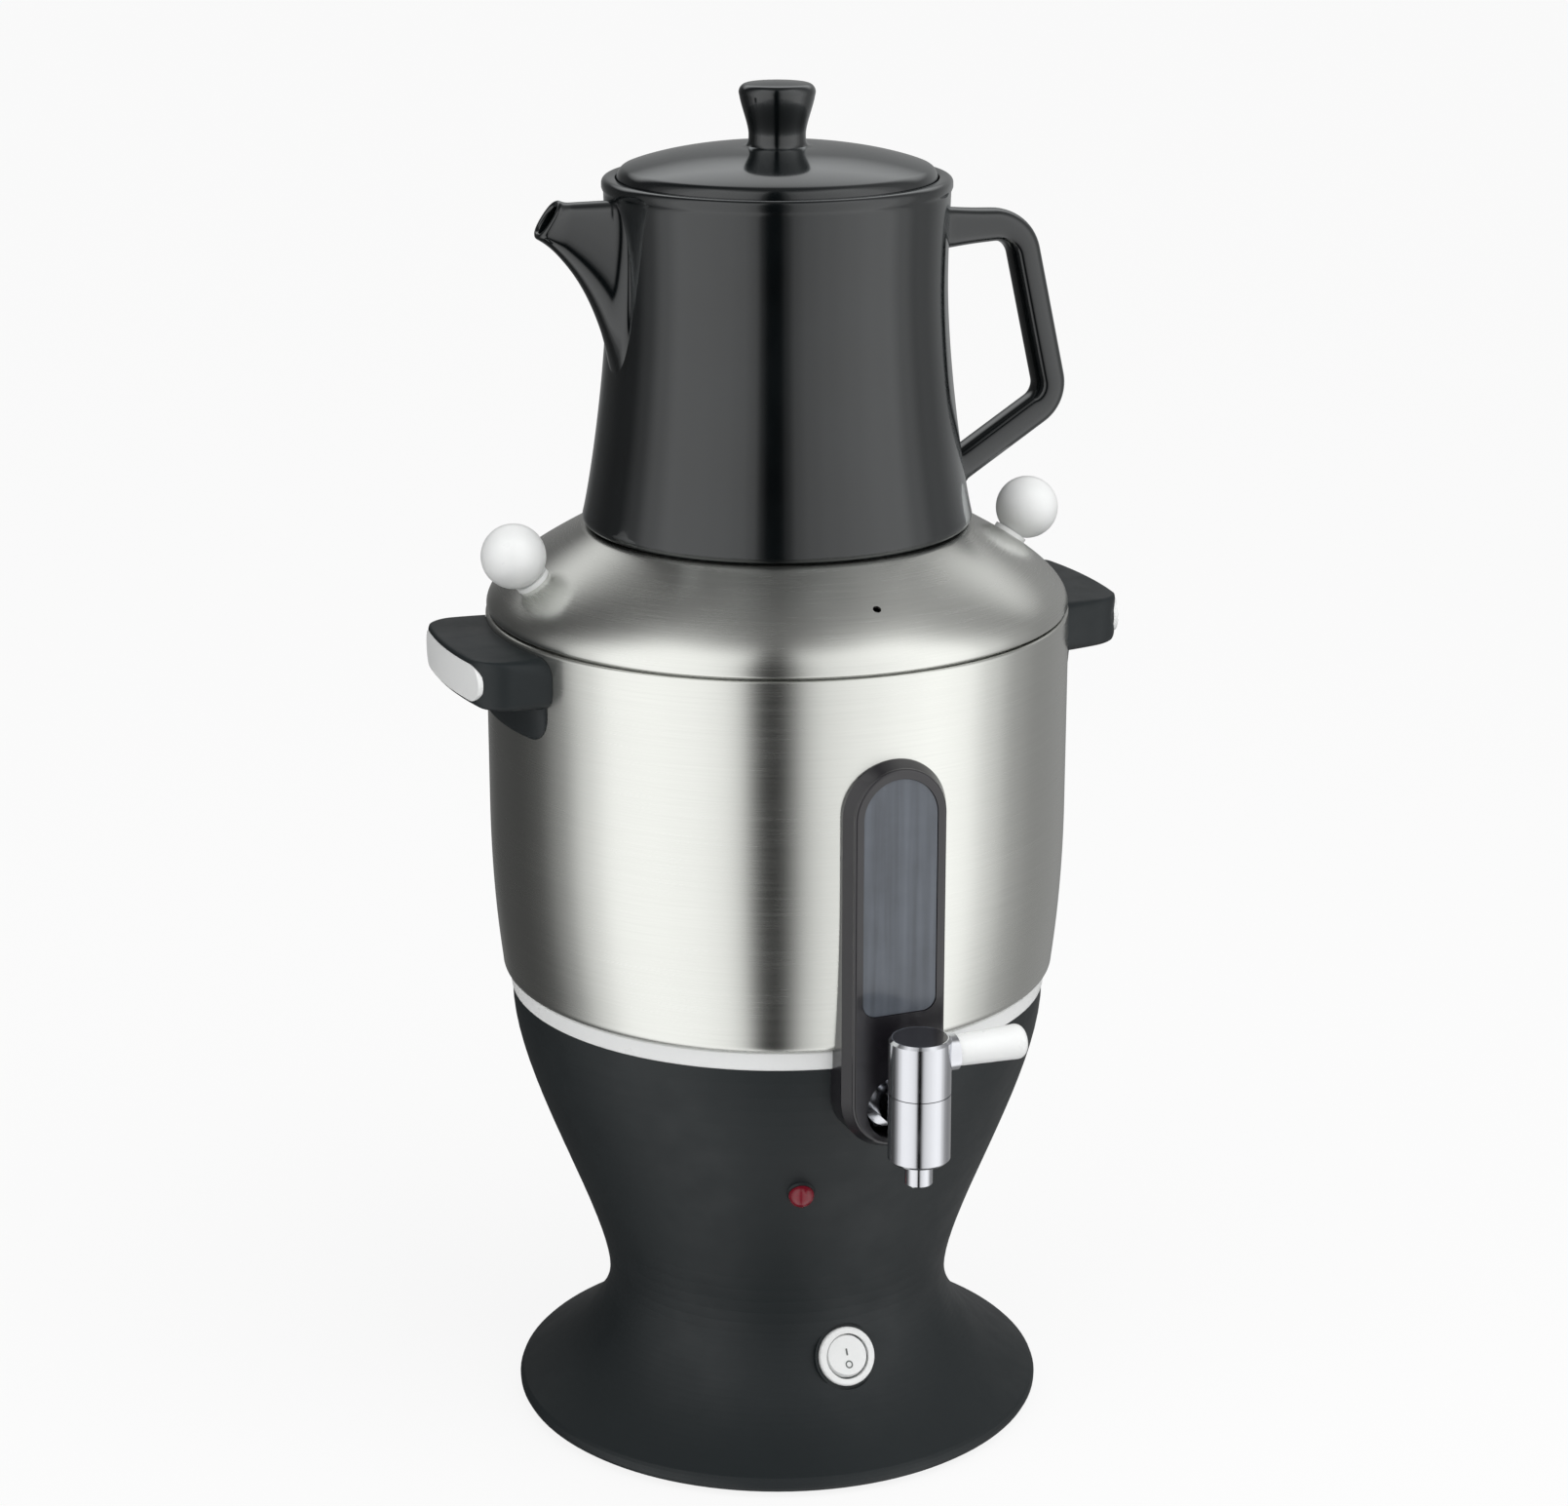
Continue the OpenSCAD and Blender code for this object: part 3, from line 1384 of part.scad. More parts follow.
// Lid of the teapot: a dome over a skirt, with a waisted knob
pot_lid_gap = 0.4;
pot_lid_edge_r = 4.5;
pot_lid_edge_h = 3;
pot_lid_edge_angle = 62;
pot_lid_wall = 3.6;
pot_lid_side_share = 0.29;
pot_lid_side_drop_share = 0.42;
pot_lid_top_share = 0.42;
skirt_gap = 0.6;
skirt_h = 7.5;
skirt_t = 3;
knob_root_r = 11.8;
knob_waist_r = 10.3;
knob_waist_low = 1.2;
knob_waist_high = 4;
knob_round = 3;
knob_crown = 0.6;
pot_lid_r = pot_mouth_r - pot_lid_gap;
pot_lid_z = pot_ledge_z + lift_gap;
pot_lid_top_z = pot_rim_z + pot_lid_rise;
pot_lid_edge_c = [pot_lid_r - pot_lid_edge_r, pot_lid_z + pot_lid_edge_h];
pot_dome_start = pot_lid_edge_c + pot_lid_edge_r * [cos(pot_lid_edge_angle), sin(pot_lid_edge_angle)];
pot_dome = [
    pot_dome_start,
    [
        pot_dome_start.x - pot_lid_side_share * (pot_dome_start.x - knob_root_r) / 2,
        pot_lid_top_z - pot_lid_side_drop_share * pot_lid_rise
    ],
    [knob_root_r + pot_lid_top_share * (pot_dome_start.x - knob_root_r), pot_lid_top_z],
    [knob_root_r, pot_lid_top_z]
];
skirt_r = pot_neck_r - skirt_gap;
skirt_in_r = skirt_r - skirt_t;

module teapot_lid() color(glaze) placed() difference() {
    turned(concat(
        [
            [0, pot_lid_z - skirt_h],
            [skirt_r, pot_lid_z - skirt_h],
            [skirt_r, pot_lid_z],
            [pot_lid_r, pot_lid_z]
        ],
        arc(pot_lid_edge_c, pot_lid_edge_r, 0, pot_lid_edge_angle),
        tail(curve(pot_dome)),
        [
            [knob_waist_r, pot_lid_top_z + knob_waist_low],
            [knob_waist_r, pot_lid_top_z + knob_waist_high]
        ],
        arc(
            [pot_knob_r - knob_round, pot_lid_top_z + pot_knob_h - knob_round - knob_crown],
            knob_round, 0, 80
        ),
        [[0, pot_lid_top_z + pot_knob_h]]
    ));
    turned(concat(
        [
            [0, pot_lid_z - skirt_h - over],
            [skirt_in_r, pot_lid_z - skirt_h - over],
            [skirt_in_r, pot_lid_z]
        ],
        [for (p = moved(curve(pot_dome), pot_lid_wall)) if (p.x < skirt_in_r) p],
        [[0, pot_lid_top_z - pot_lid_wall]]
    ));
}

pedestal();
base_plate();
rubber_feet();
base_screws();
cord_bush();
trim_ring();
tank();
tank_well();
heating_disc();
heating_element();
thermostat();
thermal_fuse();
terminal_block();
tie_stud();
tie_bridge();
tie_nut();
lamp_holder();
lamp_lens();
switch_body();
switch_rocker();
sight_bezel();
sight_window();
sight_seal();
tap_body();
tap_spacer();
tap_lock_nut();
tap_inner_seal();
tap_inner_nut();
tap_cap();
tap_cap_disc();
tap_lever();
handle_left();
handle_right();
handle_insert_left();
handle_insert_right();
handle_screws();
tank_lid();
ball_knob_left();
ball_knob_right();
ball_knob_screws();
teapot();
teapot_lid();
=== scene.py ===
"""Finishes and fine shapes of an electric samovar with a teapot on its lid.

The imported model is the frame. The tank, its lid, the teapot with its lid, the side handles and the lamp's
dome are made again from finer outlines, the rocker gets its marks, and every piece gets a finish of its own.
"""

import json
import logging
import math
from dataclasses import dataclass
from enum import Enum
from typing import Sequence

import bmesh
import bpy
from mathutils import Matrix, Vector


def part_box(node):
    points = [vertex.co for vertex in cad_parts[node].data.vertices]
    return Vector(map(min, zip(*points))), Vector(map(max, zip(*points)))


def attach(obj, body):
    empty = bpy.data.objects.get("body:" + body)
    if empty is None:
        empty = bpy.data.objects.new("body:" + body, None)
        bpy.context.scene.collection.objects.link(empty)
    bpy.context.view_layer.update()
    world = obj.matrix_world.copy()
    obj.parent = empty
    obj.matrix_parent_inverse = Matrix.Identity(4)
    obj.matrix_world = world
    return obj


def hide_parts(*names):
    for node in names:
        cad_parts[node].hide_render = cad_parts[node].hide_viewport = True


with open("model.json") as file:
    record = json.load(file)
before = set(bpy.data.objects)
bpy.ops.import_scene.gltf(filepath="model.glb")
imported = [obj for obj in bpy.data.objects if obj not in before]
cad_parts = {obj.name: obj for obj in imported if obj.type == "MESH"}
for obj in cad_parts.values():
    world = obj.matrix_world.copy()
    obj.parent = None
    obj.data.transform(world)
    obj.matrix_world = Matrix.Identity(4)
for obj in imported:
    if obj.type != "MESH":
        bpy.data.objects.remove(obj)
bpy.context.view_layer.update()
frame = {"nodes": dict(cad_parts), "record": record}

LOG = logging.getLogger("samovar")

Point = tuple[float, float]
Spot = tuple[float, float, float]
Colour = tuple[float, float, float]
Piece = bpy.types.Object
Material = bpy.types.Material
Node = bpy.types.Node
Socket = bpy.types.NodeSocket
Value = Socket | Vector | tuple | float | None

MM = 0.001
ROUND_STEPS = 224
CURVE_STEPS = 28
ARC_STEPS = 8
SHARP_ANGLE = math.radians(32)
SAME_SPOT = 1e-4
OVERRUN = 5.0
TANK_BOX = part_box("tank")
AXIS_Y = (TANK_BOX[0].y + TANK_BOX[1].y) / 2 / MM


class Body(Enum):
    """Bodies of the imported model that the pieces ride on."""

    HOUSING = "housing"
    ROCKER = "rocker"
    STEAM_LID = "steam_lid"
    POT = "pot"
    POT_LID = "pot_lid"


class Slot(Enum):
    """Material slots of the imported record."""

    BLACK_MOULDING = "black_moulding"
    GLOSS_BLACK = "gloss_black"
    WHITE_MOULDING = "white_moulding"
    STAINLESS = "stainless"
    PLAIN_STEEL = "plain_steel"
    CHROME = "chrome"
    BRASS = "brass"
    CAST_ALUMINIUM = "cast_aluminium"
    SMOKED_PANE = "smoked_pane"
    RED_LENS = "red_lens"
    BLACK_RUBBER = "black_rubber"
    SILICONE = "silicone"
    PORCELAIN = "porcelain"
    BLACK_GLAZE = "black_glaze"


def curve_point(handles: Sequence[Point], t: float) -> Point:
    """Finds the point at a place from 0 to 1 along a curve with four control points."""
    weights = ((1 - t) ** 3, 3 * (1 - t) ** 2 * t, 3 * (1 - t) * t**2, t**3)
    return tuple(sum(w * p[axis] for w, p in zip(weights, handles)) for axis in range(2))


def circle_point(centre: Point, radius: float, degrees: float) -> Point:
    """Finds the point of a circle at an angle."""
    angle = math.radians(degrees)
    return (centre[0] + radius * math.cos(angle), centre[1] + radius * math.sin(angle))


def stepped(origin: Point, *steps: Point) -> list[Point]:
    """Gives the points that lie some steps away from an origin."""
    return [(origin[0] + x, origin[1] + y) for x, y in steps]


def quarters(across: float, high: float, low: float) -> list[tuple[int, float, float]]:
    """Gives the start angle and the centre of the four corner arcs of a rounded oblong."""
    return [(0, across, high), (90, -across, high), (180, -across, low), (270, across, low)]


class Outline:
    """Row of points, each a radius and a height in millimetres, drawn from stretch to stretch."""

    def __init__(self, *points: Point) -> None:
        """Starts the row."""
        self.points: list[Point] = list(points)

    def to(self, *points: Point) -> "Outline":
        """Adds straight stretches and gives the outline itself."""
        self.points.extend(points)
        return self

    def line(self, end: Point, steps: int) -> "Outline":
        """Adds a straight stretch in equal steps.

        Args:
            end: Last point of the stretch.
            steps: Number of steps.

        Returns:
            The outline itself.
        """
        x, y = self.points[-1]
        shares = (k / steps for k in range(1, steps + 1))
        return self.to(*((x + (end[0] - x) * share, y + (end[1] - y) * share) for share in shares))

    def bend(self, first: Point, second: Point, end: Point, steps: int = CURVE_STEPS) -> "Outline":
        """Adds a curve from the last point, with a handle near each end, and gives the outline itself."""
        handles = (self.points[-1], first, second, end)
        return self.to(*(curve_point(handles, i / steps) for i in range(1, steps + 1)))

    def arc(self, centre: Point, radius: float, start: float, end: float,
            steps: int = ARC_STEPS) -> "Outline":
        """Adds an arc.

        Args:
            centre: Centre of the arc.
            radius: Its radius.
            start: Its first angle in degrees, from the radius towards the height.
            end: Its last angle in degrees.
            steps: Number of stretches.

        Returns:
            The outline itself.
        """
        for i in range(steps + 1):
            point = circle_point(centre, radius, start + (end - start) * i / steps)
            if not self.points or math.dist(point, self.points[-1]) > SAME_SPOT:
                self.points.append(point)
        return self

    def moved(self, depth: float) -> list[Point]:
        """Moves the row to its left with mitred corners.

        Args:
            depth: How far it moves.

        Returns:
            The moved points.
        """
        normals = []
        for (x0, y0), (x1, y1) in zip(self.points, self.points[1:]):
            length = math.dist((x0, y0), (x1, y1))
            normals.append((-(y1 - y0) / length, (x1 - x0) / length))
        result = []
        for (x, y), a, b in zip(self.points, normals[:1] + normals, normals + normals[-1:]):
            share = depth / (1 + a[0] * b[0] + a[1] * b[1])
            result.append((max(x + share * (a[0] + b[0]), 0.0), y + share * (a[1] + b[1])))
        return result

    def sheet(self, wall: float) -> list[Point]:
        """Closes the row into the section of a sheet with a wall."""
        return self.points + self.moved(wall)[::-1]


def placed(x: float, y: float, z: float) -> Spot:
    """Turns millimetres round the tank's axis, with the front towards -Y, into metres of the row frame."""
    return (x * MM, (y + AXIS_Y) * MM, z * MM)


def added(name: str, data: bpy.types.ID) -> Piece:
    """Puts a mesh, a camera or a lamp into the scene.

    Args:
        name: Name of the object.
        data: What it shows.

    Returns:
        The new object.
    """
    thing = bpy.data.objects.new(name, data)
    bpy.context.scene.collection.objects.link(thing)
    return thing


def sharpen(piece: Piece) -> None:
    """Smooths a piece's faces and keeps its corners crisp.

    Args:
        piece: The piece, whose mesh is changed.
    """
    work = bmesh.new()
    work.from_mesh(piece.data)
    bmesh.ops.remove_doubles(work, verts=work.verts, dist=SAME_SPOT * MM)
    bmesh.ops.recalc_face_normals(work, faces=work.faces)
    for face in work.faces:
        face.smooth = True
    for edge in work.edges:
        edge.smooth = len(edge.link_faces) == 2 and edge.calc_face_angle(0.0) < SHARP_ANGLE
    work.to_mesh(piece.data)
    work.free()


def piece_from(name: str, spots: Sequence[Spot], faces: Sequence[Sequence[int]]) -> Piece:
    """Makes an object from spots round the tank's axis.

    Args:
        name: Name of the piece.
        spots: Corner points in millimetres.
        faces: Corner numbers of each face.

    Returns:
        The new object, with outward normals and sharp edges marked.
    """
    mesh = bpy.data.meshes.new(name)
    mesh.from_pydata([placed(*spot) for spot in spots], [], faces)
    piece = added(name, mesh)
    sharpen(piece)
    return piece


def turned(name: str, section: Sequence[Point], steps: int = ROUND_STEPS,
           seat: Matrix | None = None) -> Piece:
    """Turns a closed section round the tank's axis, or round the height axis of a seat.

    Args:
        name: Name of the piece.
        section: Radius and height of each point of the closed section.
        steps: Number of points round.
        seat: Where the turned piece sits, in millimetres round the tank's axis.

    Returns:
        The turned piece.
    """
    spots: list[Spot] = []
    rings: list[list[int]] = []
    for radius, height in section:
        count = steps if radius > SAME_SPOT else 1
        rings.append([len(spots) + k % count for k in range(steps)])
        spots += [(*circle_point((0.0, 0.0), radius, 360 * k / steps), height) for k in range(count)]
    if seat is not None:
        spots = [tuple(seat @ Vector(spot)) for spot in spots]
    faces = []
    for low, high in zip(rings, rings[1:] + rings[:1]):
        for k in range(steps):
            after = (k + 1) % steps
            corners = tuple(dict.fromkeys((low[k], low[after], high[after], high[k])))
            if len(corners) > 2:
                faces.append(corners)
    return piece_from(name, spots, faces)


def lofted(name: str, rings: Sequence[Sequence[Spot]], closed: bool = False) -> Piece:
    """Skins a row of rings that have the same number of spots.

    Args:
        name: Name of the piece.
        rings: The rings, in order.
        closed: Whether the last ring joins the first, as in a tube with an inner wall.

    Returns:
        The lofted piece, with its two ends closed unless the rings join.
    """
    count = len(rings[0])
    last = (len(rings) - 1) * count
    faces: list[tuple[int, ...]] = []
    for k in range(len(rings) if closed else len(rings) - 1):
        low, high = k * count, (k + 1) % len(rings) * count
        for i in range(count):
            j = (i + 1) % count
            faces.append((low + i, low + j, high + j, high + i))
    if not closed:
        faces += [tuple(range(count))[::-1], tuple(range(last, last + count))]
    return piece_from(name, [spot for ring in rings for spot in ring], faces)


def rod(name: str, start: Spot, end: Spot, radius: float, steps: int = 32) -> Piece:
    """Makes a round cutter between two spots.

    Args:
        name: Name of the cutter.
        start: Centre of one end in millimetres.
        end: Centre of the other end.
        radius: Its radius.
        steps: Number of points round.

    Returns:
        The cutter.
    """
    way = (Vector(end) - Vector(start)).normalized()
    side = way.orthogonal().normalized()
    other = way.cross(side)
    turns = [math.tau * k / steps for k in range(steps)]
    loop = [radius * (math.cos(turn) * side + math.sin(turn) * other) for turn in turns]
    return lofted(name, [[tuple(Vector(centre) + spoke) for spoke in loop] for centre in (start, end)])


def carve(piece: Piece, *cutters: Piece) -> None:
    """Cuts other pieces out of one and deletes them.

    Args:
        piece: The piece that is cut.
        cutters: Closed pieces that are taken away.
    """
    for cutter in cutters:
        cut = piece.modifiers.new(cutter.name, "BOOLEAN")
        cut.operation = "DIFFERENCE"
        cut.solver = "EXACT"
        cut.object = cutter
    graph = bpy.context.evaluated_depsgraph_get()
    mesh = bpy.data.meshes.new_from_object(piece.evaluated_get(graph))
    piece.modifiers.clear()
    piece.data = mesh
    for cutter in cutters:
        bpy.data.objects.remove(cutter)
    sharpen(piece)


def dressed(piece: Piece, body: Body, slot: Slot, *nodes: str) -> None:
    """Gives a new piece its finish, its body and the nodes that it stands for.

    Args:
        piece: The piece.
        body: Body that it moves with.
        slot: Material slot that it takes its finish from.
        nodes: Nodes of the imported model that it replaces.
    """
    piece.data.materials.clear()
    piece.data.materials.append(SHELF.material(slot))
    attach(piece, body.value)
    if nodes:
        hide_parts(*nodes)
    LOG.info("made %s for %s: %d faces", piece.name, body.value, len(piece.data.polygons))


class NodeTree:
    """Node tree of a material or a world, with short calls for adding and joining nodes."""

    COLOUR_PAIR = slice(6, 8)
    COLOUR_RESULT = 2

    def __init__(self, owner: Material | bpy.types.World) -> None:
        """Starts with an empty tree.

        Args:
            owner: The material or world.
        """
        owner.use_nodes = True
        self.tree = owner.node_tree
        self.tree.nodes.clear()

    def feed(self, slot: Socket, value: Value) -> None:
        """Links a socket to an input, or sets its value.

        Args:
            slot: The input.
            value: A socket, a value, a colour without its alpha, or None for what the input has.
        """
        if isinstance(value, Socket):
            self.tree.links.new(value, slot)
        elif value is not None:
            slot.default_value = (*value, 1.0) if slot.type == "RGBA" else value

    def fill(self, node: Node, **values: Value) -> Node:
        """Feeds the inputs of a node by their names.

        Args:
            node: The node.
            values: What they get, with underscores for the spaces in their names.

        Returns:
            The node.
        """
        for name, value in values.items():
            self.feed(node.inputs[name.replace("_", " ")], value)
        return node

    def add(self, kind: str, *values: Value, **settings: str) -> Node:
        """Adds a node.

        Args:
            kind: Blender's name of the node.
            values: What its inputs get, in their order.
            settings: Choices of the node, by Blender's names.

        Returns:
            The node.
        """
        node = self.tree.nodes.new(kind)
        for name, setting in settings.items():
            setattr(node, name, setting)
        for slot, value in zip(node.inputs, values):
            self.feed(slot, value)
        return node

    def math(self, operation: str, *values: Value) -> Socket:
        """Combines values."""
        return self.add("ShaderNodeMath", *values, operation=operation).outputs[0]

    def between(self, value: Socket, low: float, high: float, start: float = 0.3, end: float = 0.7) -> Socket:
        """Spreads a value from start to end over a range from low to high."""
        return self.add("ShaderNodeMapRange", value, start, end, low, high).outputs[0]

    def blend(self, share: Socket, low: Socket | Colour, high: Socket | Colour) -> Socket:
        """Mixes two colours.

        Args:
            share: Share of the second colour.
            low: First colour.
            high: Second colour.

        Returns:
            The mixed colour's socket.
        """
        node = self.add("ShaderNodeMix", share, data_type="RGBA")
        for slot, colour in zip(node.inputs[self.COLOUR_PAIR], (low, high)):
            self.feed(slot, colour)
        return node.outputs[self.COLOUR_RESULT]


class NodeSheet(NodeTree):
    """Node tree of one finish, with short calls for what the finishes share."""

    def __init__(self, name: str, colour: Colour, roughness: float) -> None:
        """Makes a material with one shader.

        Args:
            name: Name of the material.
            colour: Linear base colour.
            roughness: Roughness of the surface.
        """
        self.material = bpy.data.materials.new(name)
        super().__init__(self.material)
        self.colour = colour
        self.shader = self.add("ShaderNodeBsdfPrincipled")
        self.set(Base_Color=colour, Roughness=roughness)
        self.add("ShaderNodeOutputMaterial", self.shader.outputs[0])
        self.place = self.add("ShaderNodeTexCoord").outputs["Object"]

    def set(self, **values: Value) -> None:
        """Feeds the shader's inputs by their names."""
        self.fill(self.shader, **values)

    def noise(self, pitch: float, detail: float = 2.0) -> Socket:
        """Adds soft random spots of a size in millimetres, from 0 to 1."""
        return self.noise_at(self.place, detail, 1 / (pitch * MM))

    def noise_at(self, place: Socket, detail: float, scale: float = 1.0) -> Socket:
        """Adds soft random spots in a place of its own."""
        return self.add("ShaderNodeTexNoise", place, None, scale, detail).outputs[0]

    def cells(self, pitch: float) -> Socket:
        """Finds the distance from the middle of the nearest of many small cells."""
        return self.add("ShaderNodeTexVoronoi", self.place, None, 1 / (pitch * MM)).outputs["Distance"]

    def mixed(self, first: Socket, second: Socket, share: float) -> Socket:
        """Adds up two values by the share of the first."""
        return self.math("ADD", self.math("MULTIPLY", first, share), self.math("MULTIPLY", second, 1 - share))

    def round_lines(self, run: float, pitch: float, climb: float = 0.8) -> Socket:
        """Finds a place in which noise becomes lines round the tank's axis.

        Args:
            run: Length of a line as a share of the radius.
            pitch: Distance between lines in millimetres.
            climb: How much of the radius counts as height, for domes.

        Returns:
            The place's socket.
        """
        across, deep, up = self.add("ShaderNodeSeparateXYZ", self.place).outputs
        along = self.math("SUBTRACT", deep, AXIS_Y * MM)
        squares = (self.math("POWER", value, 2.0) for value in (across, along))
        radius = self.math("SQRT", self.math("ADD", *squares))
        height = self.math("SUBTRACT", up, self.math("MULTIPLY", radius, climb))
        turns = [self.math("DIVIDE", self.math("DIVIDE", value, radius), run) for value in (across, along)]
        return self.add("ShaderNodeCombineXYZ", *turns, self.math("DIVIDE", height, pitch * MM)).outputs[0]

    def paint(self, value: Socket, dark: float, light: float) -> None:
        """Varies the base colour with a value, from a dark share of itself to a light one."""
        shades = (tuple(part * share for part in self.colour) for share in (dark, light))
        self.set(Base_Color=self.blend(self.between(value, 0.0, 1.0), *shades))

    def relief(self, *layers: tuple[Socket, float], coat: bool = False) -> None:
        """Raises the surface a little.

        Args:
            layers: Heights from 0 to 1, each with its depth in millimetres.
            coat: Whether the coat over the surface follows it as well.
        """
        normal = None
        for height, depth in layers:
            bump = self.add("ShaderNodeBump")
            normal = self.fill(bump, Distance=depth * MM, Height=height, Normal=normal).outputs[0]
        self.set(Normal=normal, Coat_Normal=normal if coat else None)


@dataclass(frozen=True)
class Finish:
    """Name, linear colour and roughness, which every finish has, and how its material is made."""

    name: str
    colour: Colour
    roughness: float

    def build(self) -> Material:
        """Makes the material.

        Returns:
            The material.
        """
        sheet = NodeSheet(self.name, self.colour, self.roughness)
        self.draw(sheet)
        return sheet.material

    def draw(self, sheet: NodeSheet) -> None:
        """Draws nothing more on a plain finish."""

    def vary(self, sheet: NodeSheet, value: Socket, spread: float) -> None:
        """Varies the roughness by a share of it."""
        ends = (self.roughness * (1 - spread), self.roughness * (1 + spread))
        sheet.set(Roughness=sheet.between(value, *ends))


@dataclass(frozen=True)
class Moulding(Finish):
    """Moulded plastic, rubber or porcelain: a fine grain, cloudy colour and patches of wear."""

    grain: float = 0.5
    grain_depth: float = 0.02
    grain_share: float = 0.4
    mottle: float = 0.06
    cloud: float = 38.0
    coat: float = 0.0
    coat_roughness: float = 0.08
    sheen: float = 0.0
    bleed: float = 0.0
    bleed_depth: float = 2.0
    shine: float = 0.5
    waves: float = 9.0
    wear: float = 0.1
    wear_share: int = 3

    def draw(self, sheet: NodeSheet) -> None:
        """Draws the finish.

        Args:
            sheet: Node tree of the material.
        """
        sheet.set(Coat_Weight=self.coat, Coat_Roughness=self.coat_roughness, Sheen_Weight=self.sheen,
                  Specular_IOR_Level=self.shine)
        if self.bleed:
            sheet.set(Subsurface_Weight=self.bleed, Subsurface_Radius=(1.0, 1.0, 1.0),
                      Subsurface_Scale=self.bleed_depth * MM)
        clouds = sheet.noise(self.cloud, detail=4.0)
        grain = sheet.noise(self.grain, detail=3.0)
        sheet.paint(sheet.mixed(clouds, grain, 1 - self.grain_share), 1 - self.mottle, 1 + self.mottle)
        self.vary(sheet, sheet.noise(self.cloud / self.wear_share, detail=5.0), self.wear)
        sheet.relief((grain, self.grain_depth), (sheet.noise(self.grain * self.waves), self.grain_depth))


@dataclass(frozen=True)
class SpunSteel(Finish):
    """Brushed steel with fine and broad lines round the axis, whose highlights stretch across the lines."""

    stretch: float = 0.8
    turn: float = 0.25
    fine_lines: Point = (0.25, 0.16)
    broad_lines: Point = (0.6, 0.9)
    smear: float = 26.0
    shades: Point = (0.965, 1.03)
    line_depth: float = 0.0003
    fine_share: float = 0.55
    line_polish: float = 0.018
    smear_polish: float = 0.012

    def draw(self, sheet: NodeSheet) -> None:
        """Draws the finish.

        Args:
            sheet: Node tree of the material.
        """
        tangent = sheet.add("ShaderNodeTangent", direction_type="RADIAL", axis="Z").outputs[0]
        sheet.set(Metallic=1.0, Anisotropic=self.stretch, Anisotropic_Rotation=self.turn, Tangent=tangent)
        fine = sheet.noise_at(sheet.round_lines(*self.fine_lines), detail=1.0)
        broad = sheet.noise_at(sheet.round_lines(*self.broad_lines), detail=2.0)
        smears = sheet.noise(self.smear, detail=5.0)
        lines = sheet.mixed(fine, broad, self.fine_share)
        sheet.paint(lines, *self.shades)
        rough = sheet.math("ADD", sheet.between(lines, -self.line_polish, self.line_polish),
                           sheet.between(smears, -self.smear_polish, self.smear_polish))
        sheet.set(Roughness=sheet.math("ADD", rough, self.roughness))
        sheet.relief((fine, self.line_depth), (broad, self.line_depth))


@dataclass(frozen=True)
class PlainMetal(Finish):
    """Plated, cast or drawn metal with light scratches and a cloudy polish."""

    scratch: float = 0.4
    scratch_depth: float = 0.001
    tarnish: float = 0.05
    cloud: float = 9.0
    wear: float = 0.25

    def draw(self, sheet: NodeSheet) -> None:
        """Draws the finish.

        Args:
            sheet: Node tree of the material.
        """
        sheet.set(Metallic=1.0)
        clouds = sheet.noise(self.cloud, detail=4.0)
        sheet.paint(clouds, 1 - self.tarnish, 1 + self.tarnish / 2)
        self.vary(sheet, clouds, self.wear)
        sheet.relief((sheet.noise(self.scratch, detail=4.0), self.scratch_depth))


@dataclass(frozen=True)
class Glaze(Finish):
    """Black glaze on fired clay: a glassy coat with a slow wobble and rare pinholes."""

    tint: Colour = (0.93, 0.985, 1.0)
    index: float = 1.3
    coat_index: float = 1.52
    coat_roughness: float = 0.08
    cloud: float = 30.0
    shades: Point = (0.7, 1.4)
    wear: float = 0.15
    wear_size: float = 6.0
    wobble: float = 14.0
    wobble_depth: float = 0.01
    pit_pitch: float = 5.0
    pit_edge: Point = (0.02, 0.05)
    pit_depth: float = 0.004

    def draw(self, sheet: NodeSheet) -> None:
        """Draws the finish.

        Args:
            sheet: Node tree of the material.
        """
        sheet.set(IOR=self.index, Coat_Weight=1.0, Coat_Roughness=self.coat_roughness,
                  Coat_IOR=self.coat_index, Coat_Tint=self.tint)
        sheet.paint(sheet.noise(self.cloud, detail=4.0), *self.shades)
        self.vary(sheet, sheet.noise(self.wear_size, detail=3.0), self.wear)
        waves = sheet.noise(self.wobble, detail=1.0)
        pits = sheet.between(sheet.cells(self.pit_pitch), 0.0, 1.0, *self.pit_edge)
        sheet.relief((waves, self.wobble_depth), (pits, self.pit_depth), coat=True)


@dataclass(frozen=True)
class ClearMoulding(Finish):
    """Tinted clear plastic with a cloudy tone and upright streaks of painted reflection, as in the pane and
    the lens.
    """

    clearness: float = 0.12
    grain: float = 1.5
    grain_depth: float = 0.004
    # Strength and size of the upright streaks of painted reflection; the strength also scales the random haze
    # tone.
    haze_and_reflection_share: float = 0.1
    reflection_width: float = 3.5
    reflection_length: float = 70.0
    haze: float = 12.0
    haze_share: float = 0.3
    index: float = 1.49
    wear: float = 0.2

    def draw(self, sheet: NodeSheet) -> None:
        """Draws the finish.

        Args:
            sheet: Node tree of the material.
        """
        sheet.set(Transmission_Weight=self.clearness, IOR=self.index)
        haze = sheet.noise(self.haze, detail=4.0)
        # The upright streaks are painted reflection laid into the colour, mixed with the random haze tone.
        sizes = (self.reflection_width, self.reflection_width, self.reflection_length)
        upright = sheet.add("ShaderNodeMapping", sheet.place)
        sheet.fill(upright, Scale=tuple(1 / (size * MM) for size in sizes))
        painted_reflections = sheet.noise_at(upright.outputs[0], detail=2.0)
        sheet.paint(sheet.mixed(haze, painted_reflections, self.haze_share), 1 - self.haze_and_reflection_share, 1 + self.haze_and_reflection_share)
        self.vary(sheet, haze, self.wear)
        sheet.relief((sheet.noise(self.grain), self.grain_depth))


